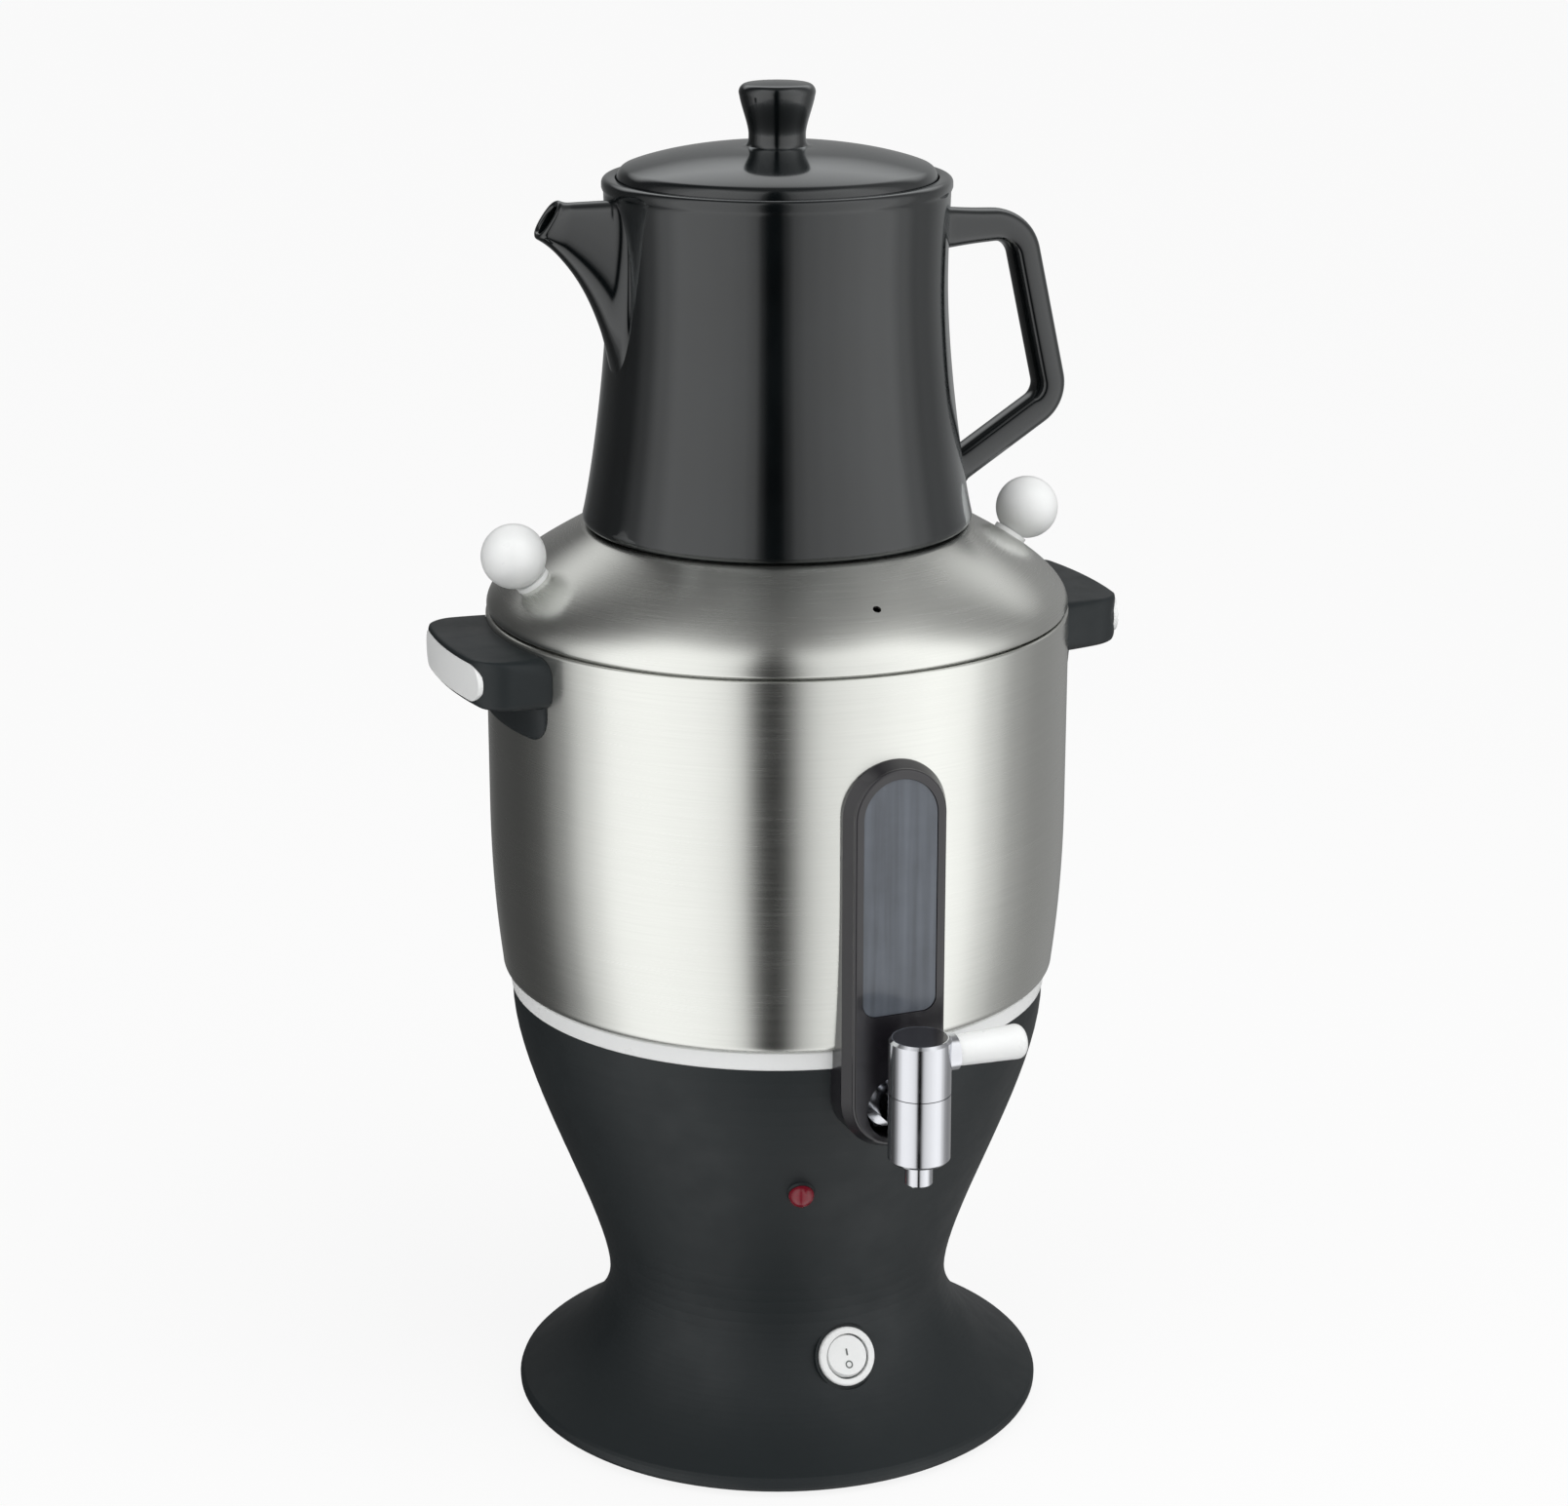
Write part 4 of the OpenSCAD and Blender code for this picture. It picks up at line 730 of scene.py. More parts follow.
class FinishShelf:
    """Finish of every material slot, made when first asked for."""

    FINISHES = {
        Slot.BLACK_MOULDING: Moulding("satin_black", (0.0078, 0.0116, 0.0132), 0.5, grain=0.7,
                                      grain_depth=0.012, shine=0.36),
        Slot.GLOSS_BLACK: Moulding("gloss_black", (0.0075, 0.0064, 0.0092), 0.34, grain=1.2,
                                   grain_depth=0.002, coat=0.5),
        Slot.WHITE_MOULDING: Moulding("white_plastic", (0.84, 0.85, 0.845), 0.3, grain=0.9,
                                      grain_depth=0.004, mottle=0.02, bleed=0.12),
        Slot.STAINLESS: SpunSteel("brushed_steel", (0.66, 0.668, 0.635), 0.26),
        Slot.PLAIN_STEEL: PlainMetal("zinc_steel", (0.58, 0.59, 0.6), 0.34, tarnish=0.12),
        Slot.CHROME: PlainMetal("bright_chrome", (0.6, 0.61, 0.64), 0.14, scratch_depth=0.0004, tarnish=0.02),
        Slot.BRASS: PlainMetal("turned_brass", (0.72, 0.5, 0.22), 0.24, tarnish=0.15),
        Slot.CAST_ALUMINIUM: PlainMetal("cast_aluminium", (0.62, 0.63, 0.65), 0.5, scratch=0.8,
                                        scratch_depth=0.05, tarnish=0.1),
        Slot.SMOKED_PANE: ClearMoulding("smoked_pane", (0.1, 0.113, 0.135), 0.16, haze_and_reflection_share=0.3),
        Slot.RED_LENS: ClearMoulding("red_lens", (0.2, 0.006, 0.018), 0.24, grain=1.6),
        Slot.BLACK_RUBBER: Moulding("black_rubber", (0.014, 0.014, 0.015), 0.75, grain=0.4,
                                    grain_depth=0.03, sheen=0.1),
        Slot.SILICONE: Moulding("clear_grey_silicone", (0.5, 0.5, 0.48), 0.5, mottle=0.04, bleed=0.3),
        Slot.PORCELAIN: Moulding("white_porcelain", (0.76, 0.74, 0.69), 0.25, mottle=0.03, coat=0.6),
        Slot.BLACK_GLAZE: Glaze("black_glaze", (0.0028, 0.0036, 0.004), 0.16),
    }

    def __init__(self) -> None:
        """Starts with no material made."""
        self.made: dict[Slot, Material] = {}

    def material(self, slot: Slot) -> Material:
        """Finds or makes the material of a slot.

        Args:
            slot: The material slot.

        Returns:
            The material.
        """
        if slot not in self.made:
            self.made[slot] = self.FINISHES[slot].build()
        return self.made[slot]

    def dress_nodes(self) -> None:
        """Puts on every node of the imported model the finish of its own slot."""
        for part in frame["record"]["subparts"]:
            node = frame["nodes"][part["node"]]
            finish = self.material(Slot(part["material_slot"]))
            if not node.material_slots:
                node.data.materials.append(finish)
            for slot in node.material_slots:
                slot.material = finish
            LOG.info("dressed %s with %s", node.name, finish.name)


SHELF = FinishShelf()


@dataclass
class Tank:
    """Spun tank: a well in the bowl, a ledge on the ring, a curved shoulder and a rounded rim."""

    wall: float = 1.0
    well_radius: float = 88.0
    well_floor: float = 130.0
    well_corner: float = 15.0
    ledge_height: float = 174.0
    shoulder_radius: float = 102.9
    shoulder_round: float = 3.4
    shoulder_top: float = 237.4
    shoulder_start: float = 6.6
    shoulder_end: float = 32.7
    bulge: float = 0.2
    radius: float = 106.5
    side_step: float = 24.0
    rim_round: float = 1.3
    rim_height: float = 311.2
    slot_half_width: float = 9.0
    slot_low: float = 196.5
    slot_high: float = 262.0
    slot_steps: int = 16
    stem_height: float = 155.0
    stem_radius: float = 6.6

    def outline(self) -> Outline:
        """Draws the outer face from the middle of the well's floor to the rim.

        Returns:
            The outline.
        """
        corner = (self.well_radius - self.well_corner, self.well_floor + self.well_corner)
        low = self.ledge_height + self.shoulder_round
        out = self.shoulder_radius + self.bulge * (self.radius - self.shoulder_radius)
        return (
            Outline((0.0, self.well_floor))
            .arc(corner, self.well_corner, -90, 0)
            .to((self.well_radius, self.ledge_height))
            .arc((self.shoulder_radius - self.shoulder_round, low), self.shoulder_round, -90, 0)
            .bend((out, low + self.shoulder_start), (self.radius, self.shoulder_top - self.shoulder_end),
                  (self.radius, self.shoulder_top))
            .to(*((self.radius, self.shoulder_top + k * self.side_step) for k in (1, 2)))
            .arc((self.radius - self.rim_round, self.rim_height - self.rim_round), self.rim_round, 0, 90)
        )

    def slot(self) -> Piece:
        """Makes the cutter of the slot behind the sight glass.

        Returns:
            The cutter.
        """
        half = self.slot_half_width
        flat = Outline((half, self.slot_low), (-half, self.slot_low))
        flat.arc((0.0, self.slot_high), half, 180, 0, self.slot_steps)
        depths = (-self.radius - OVERRUN, -self.well_radius)
        return lofted("slot_cutter", [[(x, y, z) for x, z in flat.points] for y in depths])

    def build(self) -> None:
        """Makes the tank."""
        tank = turned("tank_spun", self.outline().sheet(self.wall))
        ends = ((0, -self.well_radius - OVERRUN, self.stem_height), (0, 0, self.stem_height))
        carve(tank, self.slot(), rod("stem_cutter", *ends, self.stem_radius))
        dressed(tank, Body.HOUSING, Slot.STAINLESS, "tank", "tank_well")


@dataclass
class SteamLid:
    """Domed lid of the tank with a flat seat, a collar for the teapot and a vent hole."""

    wall: float = 1.0
    spigot_radius: float = 104.2
    spigot_low: float = 304.3
    spigot_bevel: float = 0.3
    spigot_rise: Point = (3.6, 4.2)
    edge_radius: float = 106.15
    edge_height: float = 311.8
    edge_round: float = 1.2
    edge_lift: float = 10.39
    crown: Point = (87.08, 332.91)
    dome_steps: int = 40
    seat: Point = (70.5, 342.0)
    seat_bevel: float = 1.2
    opening_radius: float = 48.0
    collar_height: float = 344.5
    collar_bevel: float = 0.6
    vent_share: float = 0.6
    vent_radius: float = 1.5
    vent_reach: Point = (6.0, 8.0)

    def dome(self) -> tuple[Point, Point, Point, Point]:
        """Gives the control points of the dome."""
        start = (self.edge_radius, self.edge_height + self.edge_round)
        return (start, (self.edge_radius, self.edge_height + self.edge_lift), self.crown, self.seat)

    def outline(self) -> Outline:
        """Draws the outer face from the edge to the top of the collar.

        Returns:
            The outline.
        """
        start, *bend = self.dome()
        height = self.seat[1]
        collar = self.opening_radius + self.wall
        return (
            Outline().arc((start[0] - self.edge_round, start[1]), self.edge_round, -90, 0)
            .bend(*bend, self.dome_steps)
            .to((self.seat[0] - self.seat_bevel, height), (collar + self.collar_bevel, height))
            .to((collar, height + self.collar_bevel), (collar, self.collar_height))
        )

    def build(self) -> None:
        """Makes the dome and the ring that keeps it in the tank."""
        dome = turned("steam_lid_dome", self.outline().sheet(self.wall))
        radius, height = curve_point(self.dome(), self.vent_share)
        out, up = self.vent_reach
        ends = ((0, -radius - side * out, height + side * up) for side in (1, -1))
        carve(dome, rod("vent_cutter", *ends, self.vent_radius))
        inner, bevel = self.spigot_radius - self.wall, self.spigot_bevel
        outer, low, top = self.spigot_radius, self.spigot_low, self.edge_height
        ring = turned("steam_lid_spigot", [
            (inner, low + bevel), (outer - bevel, low), (outer, low + bevel),
            (outer, top + self.spigot_rise[0]), (inner, top + self.spigot_rise[1]),
        ])
        dressed(dome, Body.STEAM_LID, Slot.STAINLESS, "tank_lid")
        dressed(ring, Body.STEAM_LID, Slot.STAINLESS)


@dataclass
class Teapot:
    """Glazed teapot: a turned body with a ledge for its lid, a closed spout and a cornered handle."""

    base: float = 342.3
    foot_radius: float = 70.7
    foot_round: float = 3.2
    foot_pull: Point = (67.42, 359.1)
    side_steps: int = 44
    waist_radius: float = 60.9
    waist_height: float = 432.09
    waist_low: float = 402.15
    neck_pull: float = 12.0
    neck_steps: int = 16
    bead: tuple[Point, ...] = ((-1.0, -12.0), (-0.7, -1.5), (-0.6, -0.8), (-0.3, -0.2), (0.0, 0.6))
    bead_height: float = 4.0
    rim_radius: float = 62.3
    rim_height: float = 467.0
    rim_round: float = 2.0
    wall: float = 4.5
    floor: float = 351.0
    floor_round: float = 6.0
    floor_gap: float = 1.0
    recess_radius: float = 55.0
    recess_height: float = 4.0
    bevel: float = 1.0
    foot_bevel: float = 0.8
    mouth_radius: float = 57.3
    mouth_edge: tuple[Point, ...] = ((0.8, -0.05), (0.2, -0.3), (0.0, -0.9))
    ledge_height: float = 463.2
    ledge_edge: tuple[Point, ...] = ((0.0, 0.5), (-0.5, 0.0))
    neck_radius: float = 54.0
    neck_height: float = 5.5
    neck_bevel: float = 0.6
    spout_top: float = 461.8
    spout_lip: float = 81.6
    spout_under: tuple[Point, ...] = ((60.045, 392.18), (67.0, 423.96), (74.01, 436.97), (89.4, 450.5))
    spout_wall: float = 2.3
    spout_half_width: float = 10.5
    tip_half_width: float = 5.4
    spout_soft: float = 0.88
    spout_steps: int = 48
    lip_roll: float = 0.9
    lip_share: float = 0.16
    lip_push: float = 0.45
    lip_steps: int = 6
    handle_corners: tuple[Point, ...] = ((58.9, 444.8), (94.8, 444.8), (109.8, 379.54), (64.7, 351.9))
    handle_rounds: Point = (13.0, 11.0)
    handle_root: int = 10
    handle_step: float = 2.2
    corner_steps: int = 14
    end_steps: int = 16
    handle_half_height: float = 5.8
    handle_half_width: float = 6.5
    handle_soft: float = 0.78
    root_flare: float = 2.6
    root_reach: float = 34.0
    fillet: float = 1.6
    fillet_reach: float = 4.0
    strainer_rows: int = 4
    strainer_pitch: float = 8.0
    strainer_radius: float = 2.0
    strainer_steps: int = 20
    section_steps: int = 48

    def side(self) -> Outline:
        """Draws the outer face from the edge of the foot to the waist.

        Returns:
            The outline.
        """
        edge = (self.foot_radius - self.foot_round, self.base + self.foot_round)
        return (
            Outline().arc(edge, self.foot_round, -90, 0)
            .bend(self.foot_pull, (self.waist_radius, self.waist_low), (self.waist_radius, self.waist_height),
                  self.side_steps)
        )

    def rim(self) -> Outline:
        """Draws the neck, the bead and the rounded rim.

        Returns:
            The outline.
        """
        pull, start, *bead = stepped((self.rim_radius, self.rim_height - self.bead_height), *self.bead)
        return (
            Outline((self.waist_radius, self.waist_height))
            .bend((self.waist_radius, self.waist_height + self.neck_pull), pull, start, self.neck_steps)
            .to(*bead)
            .arc((self.rim_radius - self.rim_round, self.rim_height - self.rim_round), self.rim_round, 0, 90)
        )

    def hollow(self) -> list[Point]:
        """Draws the inner face from the mouth down to the middle of the floor.

        Returns:
            Its points.
        """
        corner = self.floor + self.floor_round
        inner = [p for p in self.side().moved(self.wall) if p[1] > corner + self.floor_gap][::-1]
        return [
            *stepped((self.mouth_radius, self.rim_height), *self.mouth_edge),
            *stepped((self.mouth_radius, self.ledge_height), *self.ledge_edge),
            *stepped((self.neck_radius, self.ledge_height), (self.neck_bevel, 0.0), (0.0, -self.neck_bevel),
                     (0.0, -self.neck_height)),
            (inner[0][0], self.ledge_height - 2 * self.neck_height), *inner,
            *Outline().arc((inner[-1][0] - self.floor_round, corner), self.floor_round, 0, -90).points,
            (0.0, self.floor),
        ]

    def body(self) -> Piece:
        """Turns the body and bores the strainer holes behind the spout.

        Returns:
            The body.
        """
        roof = self.base + self.recess_height
        under = [(0.0, roof), *stepped((self.recess_radius, roof), (-self.bevel, 0.0), (0.0, -self.bevel)),
                 *stepped((self.recess_radius, self.base), (0.0, self.foot_bevel), (self.foot_bevel, 0.0))]
        body = turned("teapot_body", under + self.side().points + self.rim().points[1:] + self.hollow())
        holes = []
        for row in range(1, self.strainer_rows + 1):
            height = self.spout_top - self.strainer_pitch * row
            for side in (0.0,) if row % 2 == 0 else (-self.strainer_pitch / 2, self.strainer_pitch / 2):
                ends = ((x, side, height) for x in (-self.waist_radius - OVERRUN, OVERRUN - self.neck_radius))
                holes.append(rod("strainer_cutter", *ends, self.strainer_radius, self.strainer_steps))
        carve(body, *holes)
        return body

    def ring(self, centre: Point, up: Point, half_height: float, half_width: float,
             soft: float) -> list[Spot]:
        """Draws a rounded section across the plane of the spout and the handle.

        Args:
            centre: Distance from the axis and height of its middle.
            up: Direction from its middle to its top in that plane.
            half_height: Half its size along that direction.
            half_width: Half its size across the plane.
            soft: Power of its corners, 1 for an ellipse and less for a squarer form.

        Returns:
            The spots of the section.
        """
        spots = []
        for k in range(self.section_steps):
            flat = circle_point((0.0, 0.0), 1.0, 360 * k / self.section_steps)
            rise, across = (math.copysign(abs(part) ** soft, part) for part in flat)
            spots.append((centre[0] + half_height * rise * up[0], half_width * across,
                          centre[1] + half_height * rise * up[1]))
        return spots

    def spread(self, reach: float, height: float) -> float:
        """Finds how much a root widens near the body, for a glazed fillet.

        Args:
            reach: Distance from the axis.
            height: Height above the table.

        Returns:
            The growth of the section's half sizes.
        """
        side = min(self.side().points, key=lambda p: abs(p[1] - height))[0]
        away = max(reach - side, 0.0) / self.fillet_reach
        return self.fillet * max(0.0, 1 - away) ** 2

    def spout_ring(self, t: float, depth: float, push: float = 0.0) -> list[Spot]:
        """Draws a section of the spout.

        Args:
            t: Place from the root at 0 to the tip at 1.
            depth: How far it lies under the outer face.
            push: How far it is pushed out along the spout.

        Returns:
            Its spots, towards -X.
        """
        start = self.waist_radius - self.wall
        top = (start + t * (self.spout_lip - start), self.spout_top)
        low = curve_point(self.spout_under, t)
        length = math.dist(top, low)
        up = ((top[0] - low[0]) / length, (top[1] - low[1]) / length)
        centre = ((top[0] + low[0]) / 2 + push * up[1], (top[1] + low[1]) / 2 - push * up[0])
        half_width = self.spout_half_width + t * (self.tip_half_width - self.spout_half_width)
        growth = self.lip_roll * max(0.0, 1 - (1 - t) / self.lip_share) ** 2 - depth
        if depth == 0:
            growth += self.spread(*centre)
        ring = self.ring(centre, up, length / 2 + growth, half_width + growth, self.spout_soft)
        return [(-x, y, z) for x, y, z in ring]

    def spout(self) -> Piece:
        """Lofts the spout's outer face, its rounded lip and its channel.

        Returns:
            The spout.
        """
        rings = [self.spout_ring(k / self.spout_steps, 0.0) for k in range(self.spout_steps + 1)]
        for k in range(1, self.lip_steps):
            angle = math.pi * k / self.lip_steps
            depth = self.spout_wall * (1 - math.cos(angle)) / 2
            rings.append(self.spout_ring(1.0, depth, self.lip_push * self.spout_wall * math.sin(angle)))
        rings += [self.spout_ring(1 - k / self.spout_steps, self.spout_wall) for k in range(self.spout_steps)]
        return lofted("teapot_spout", rings, closed=True)

    def handle_path(self) -> list[Point]:
        """Draws the middle line of the handle with rounded corners.

        Returns:
            Its points, from the upper root to the lower one.
        """
        corners = self.handle_corners
        path = Outline(*stepped(corners[0], *((self.handle_step * k, 0.0) for k in range(self.handle_root))))
        for before, corner, after, radius in zip(corners, corners[1:], corners[2:], self.handle_rounds):
            u = (Vector(before) - Vector(corner)).normalized()
            v = (Vector(after) - Vector(corner)).normalized()
            half = u.angle(v) / 2
            centre = Vector(corner) + (u + v).normalized() * radius / math.sin(half)
            start, end = (Vector(corner) + way * radius / math.tan(half) - centre for way in (u, v))
            sweep = start.angle_signed(end)
            first = math.degrees(math.atan2(start.y, start.x))
            path.arc(centre, radius, first, first - math.degrees(sweep), self.corner_steps)
        return path.line(corners[-1], self.end_steps).points

    def handle(self) -> Piece:
        """Lofts the handle along its middle line.

        Returns:
            The handle.
        """
        path = self.handle_path()
        rings = []
        for i, (point, before, after) in enumerate(zip(path, path[:1] + path, path[1:] + path[-1:])):
            length = math.dist(before, after)
            up = (-(after[1] - before[1]) / length, (after[0] - before[0]) / length)
            away = (point[0] - path[0][0]) / self.root_reach
            flare = self.root_flare * max(0.0, 1 - away) ** 2 if i < len(path) / 2 else 0.0
            fillet = self.spread(*point)
            rings.append(self.ring(point, up, self.handle_half_height + flare + fillet,
                                   self.handle_half_width + fillet, self.handle_soft))
        return lofted("teapot_handle", rings)

    def build(self) -> None:
        """Makes the teapot."""
        dressed(self.body(), Body.POT, Slot.BLACK_GLAZE, "teapot")
        dressed(self.spout(), Body.POT, Slot.BLACK_GLAZE)
        dressed(self.handle(), Body.POT, Slot.BLACK_GLAZE)


@dataclass
class TeapotLid:
    """Glazed lid of the teapot: a dome over a skirt, with a waisted knob.

    Fields that hold several points give steps away from the corner that they shape.
    """

    radius: float = 56.9
    base: float = 463.5
    edge: tuple[Point, ...] = ((-0.6, 0.0), (-0.1, 0.3))
    edge_round: float = 4.5
    edge_rise: float = 3.0
    edge_turn: float = 62.0
    edge_steps: int = 12
    dome_height: float = 477.6
    dome_low: Point = (48.0, 473.2)
    dome_crown: float = 30.0
    dome_steps: int = 36
    knob_root: float = 10.7
    root_edge: tuple[Point, ...] = ((1.2, 0.02), (0.4, 0.2), (0.0, 0.7))
    knob_waist: float = 10.1
    waist: tuple[Point, ...] = ((0.0, 1.6), (0.0, 3.0), (0.05, 4.6), (0.4, 8.5))
    waist_steps: int = 6
    knob_radius: float = 13.6
    knob_side: tuple[Point, ...] = ((-0.9, -5.4), (-0.15, -0.9))
    side_steps: int = 10
    knob_round: float = 3.0
    knob_turn: Point = (-6.0, 76.0)
    top: float = 500.0
    top_sink: float = 0.6
    top_edge: Point = (-5.2, -0.35)
    top_flat: float = 3.5
    roof_drop: float = 3.6
    roof: tuple[Point, ...] = ((24.0, -0.5), (34.0, -1.8), (43.0, -4.2), (48.0, -7.0))
    roof_edge: tuple[Point, ...] = ((-0.4, -10.2), (0.0, -12.5))
    skirt_radius: float = 53.4
    skirt_low: float = 456.0
    skirt_wall: float = 3.0
    skirt_bevel: float = 0.8
    skirt_edge: Point = (-0.2, 0.2)

    def outline(self) -> Outline:
        """Draws the outer face from the foot of the skirt to the middle of the knob's top.

        Returns:
            The outline.
        """
        crown = self.top - self.top_sink - self.knob_round
        skirt = ((-self.skirt_bevel, 0.0), self.skirt_edge, (0.0, self.skirt_bevel))
        root, *edge = stepped((self.knob_root, self.dome_height), *self.root_edge)
        *waist, pull = stepped((self.knob_waist, self.dome_height), *self.waist)
        side = stepped((self.knob_radius, crown), *self.knob_side)
        return (
            Outline(*stepped((self.skirt_radius, self.skirt_low), *skirt))
            .to((self.skirt_radius, self.base), *stepped((self.radius, self.base), *self.edge))
            .arc((self.radius - self.edge_round, self.base + self.edge_rise), self.edge_round, 0,
                 self.edge_turn, self.edge_steps)
            .bend(self.dome_low, (self.dome_crown, self.dome_height), root, self.dome_steps)
            .to(*edge)
            .bend(*waist, self.waist_steps)
            .bend(pull, *side, self.side_steps)
            .arc((self.knob_radius - self.knob_round, crown), self.knob_round, *self.knob_turn,
                 self.edge_steps)
            .bend(*stepped((self.knob_radius, self.top), self.top_edge), (self.top_flat, self.top),
                  (0.0, self.top), ARC_STEPS)
        )

    def inside(self) -> list[Point]:
        """Gives the inner face from the middle of the dome down to the skirt.

        Returns:
            Its points.
        """
        inner = self.skirt_radius - self.skirt_wall
        height = self.dome_height - self.roof_drop
        foot = ((0.0, self.skirt_bevel), (self.skirt_bevel, 0.0))
        return [(0.0, height), (self.knob_root + 1, height), *stepped((0.0, height), *self.roof),
                *stepped((inner, height), *self.roof_edge), *stepped((inner, self.skirt_low), *foot)]

    def build(self) -> None:
        """Makes the lid."""
        lid = turned("teapot_lid_turned", self.outline().points + self.inside())
        dressed(lid, Body.POT_LID, Slot.BLACK_GLAZE, "teapot_lid")


@dataclass
class SideHandle:
    """Side handle: a soft-edged grip with a bowed face, a finger recess and a plate that lies on the tank."""

    side: float = 1.0
    seat_radius: float = 106.6
    root: float = 97.5
    reach: float = 127.5
    half_width: float = 34.0
    spread: float = 3.6
    top: float = 309.0
    low: float = 292.0
    slope: float = 2.4
    bow_radius: float = 166.9
    bow_start: float = 1.4
    plan_round: float = 10.0
    top_round: float = 1.5
    low_round: float = 3.0
    outer_round: float = 1.8
    end_round: float = 8.0
    end_power: float = 1.5
    flat_steps: int = 20
    corner_steps: int = 9
    shaft_steps: int = 8
    round_steps: int = 14
    face_steps: int = 9
    recess_start: float = 110.5
    recess_end: float = 122.0
    recess_half_width: float = 22.5
    recess_roof: float = 305.0
    recess_round: float = 4.0
    inlay_half_width: float = 30.6
    inlay_half_height: float = 6.8
    inlay_height: float = 300.6
    inlay_floor: float = 122.8
    inlay_steps: int = 16
    screw_turn: float = 14.5
    screw_height: float = 296.0
    screw_radius: float = 2.25
    screw_end: float = 117.5
    plate_half_width: float = 34.0
    plate_low: float = 277.6
    plate_rise: float = 4.0
    plate_thickness: float = 3.5
    plate_tip: float = 1.5
    plate_swell: float = 2.2
    plate_round: float = 9.5
    plate_power: int = 8
    plate_steps: int = 18
    plate_half_steps: int = 16
    gap: float = 0.01

    def turned_in(self, ring: Sequence[Spot]) -> list[Spot]:
        """Puts a ring of the right handle on its own side of the tank."""
        return [(self.side * x, self.side * y, z) for x, y, z in ring]

    def edge(self, x: float, depth: float) -> float:
        """Finds how far, at a distance from the axis, an edge with a radius has fallen away."""
        into = min(max(x - (self.reach - depth), 0.0), depth)
        return depth - math.sqrt(depth**2 - into**2)

    def ring(self, x: float, shrink: float = 1.0) -> list[Spot]:
        """Draws the grip's section at a distance from the axis.

        Args:
            x: Distance from the axis, before the bow of the face.
            shrink: Share of the section's size that is kept.

        Returns:
            The spots of the section.
        """
        out = (x - self.root) / (self.reach - self.root)
        half = self.half_width + self.spread * (1 - out) - self.edge(x, self.plan_round)
        top = self.top - self.edge(x, self.top_round)
        low = self.low - self.slope * (1 - out) + self.edge(x, self.low_round)
        middle = (top + low) / 2
        soft = self.outer_round + (self.end_round - self.outer_round) * (1 - out) ** self.end_power
        flat = Outline()
        for turn, side, level in quarters(half - soft, top - soft, low + soft):
            if turn in (90, 270):
                flat.line(circle_point((side, level), soft, turn), self.flat_steps)
            flat.arc((side, level), soft, turn, turn + 90, self.corner_steps)
        spots, bowed = [], min(out * self.bow_start, 1.0)
        for y, z in flat.points:
            across = y * shrink
            bow = (self.bow_radius - math.sqrt(self.bow_radius**2 - across**2)) * bowed
            spots.append((x - bow, across, middle + (z - middle) * shrink))
        return self.turned_in(spots)

    def recess(self) -> Piece:
        """Makes the cutter of the finger recess.

        Returns:
            The cutter.
        """
        plan, inset = Outline(), self.recess_round
        middle, half = (self.recess_end + self.recess_start) / 2, (self.recess_end - self.recess_start) / 2
        across = self.recess_half_width - inset
        for turn, x, y in quarters(half - inset, across, -across):
            plan.arc((middle + x, y), inset, turn, turn + 90)
        levels = (self.plate_low - OVERRUN, self.recess_roof)
        return lofted("recess_cutter", [self.turned_in([(x, y, z) for x, y in plan.points]) for z in levels])

    def inlay(self) -> Piece:
        """Makes the cutter of the inlay's recess.

        Returns:
            The cutter.
        """
        face, high = Outline(), self.inlay_half_height
        for turn, y in ((-90, self.inlay_half_width - high), (90, high - self.inlay_half_width)):
            face.arc((y, self.inlay_height), high, turn, turn + 180, self.inlay_steps)
        depths = (self.inlay_floor, self.reach + OVERRUN)
        return lofted("inlay_cutter", [self.turned_in([(x, y, z) for y, z in face.points]) for x in depths])

    def grip(self) -> Piece:
        """Lofts the grip and cuts its seat, finger recess, inlay recess and screw holes.

        Returns:
            The grip.
        """
        start = self.reach - self.plan_round
        turns = (math.radians(90 * k / self.round_steps) for k in range(self.round_steps + 1))
        places = [self.root + (start - self.root) * k / self.shaft_steps for k in range(self.shaft_steps)]
        places += [start + self.plan_round * math.sin(turn) for turn in turns]
        rings = [self.ring(place) for place in places]
        rings += [self.ring(self.reach, 1 - k / self.face_steps) for k in range(1, self.face_steps)]
        grip = lofted("handle_grip", rings)
        ends = ((0, 0, self.plate_low - OVERRUN), (0, 0, self.top + OVERRUN))
        cutters = [rod("tank_cutter", *ends, self.seat_radius, ROUND_STEPS), self.recess(), self.inlay()]
        for turn in (-self.screw_turn, self.screw_turn):
            ends = [self.turned_in([(*circle_point((0.0, 0.0), r, turn), self.screw_height)])[0]
                    for r in (self.root - OVERRUN, self.screw_end)]
            cutters.append(rod("screw_cutter", *ends, self.screw_radius))
        carve(grip, *cutters)
        return grip

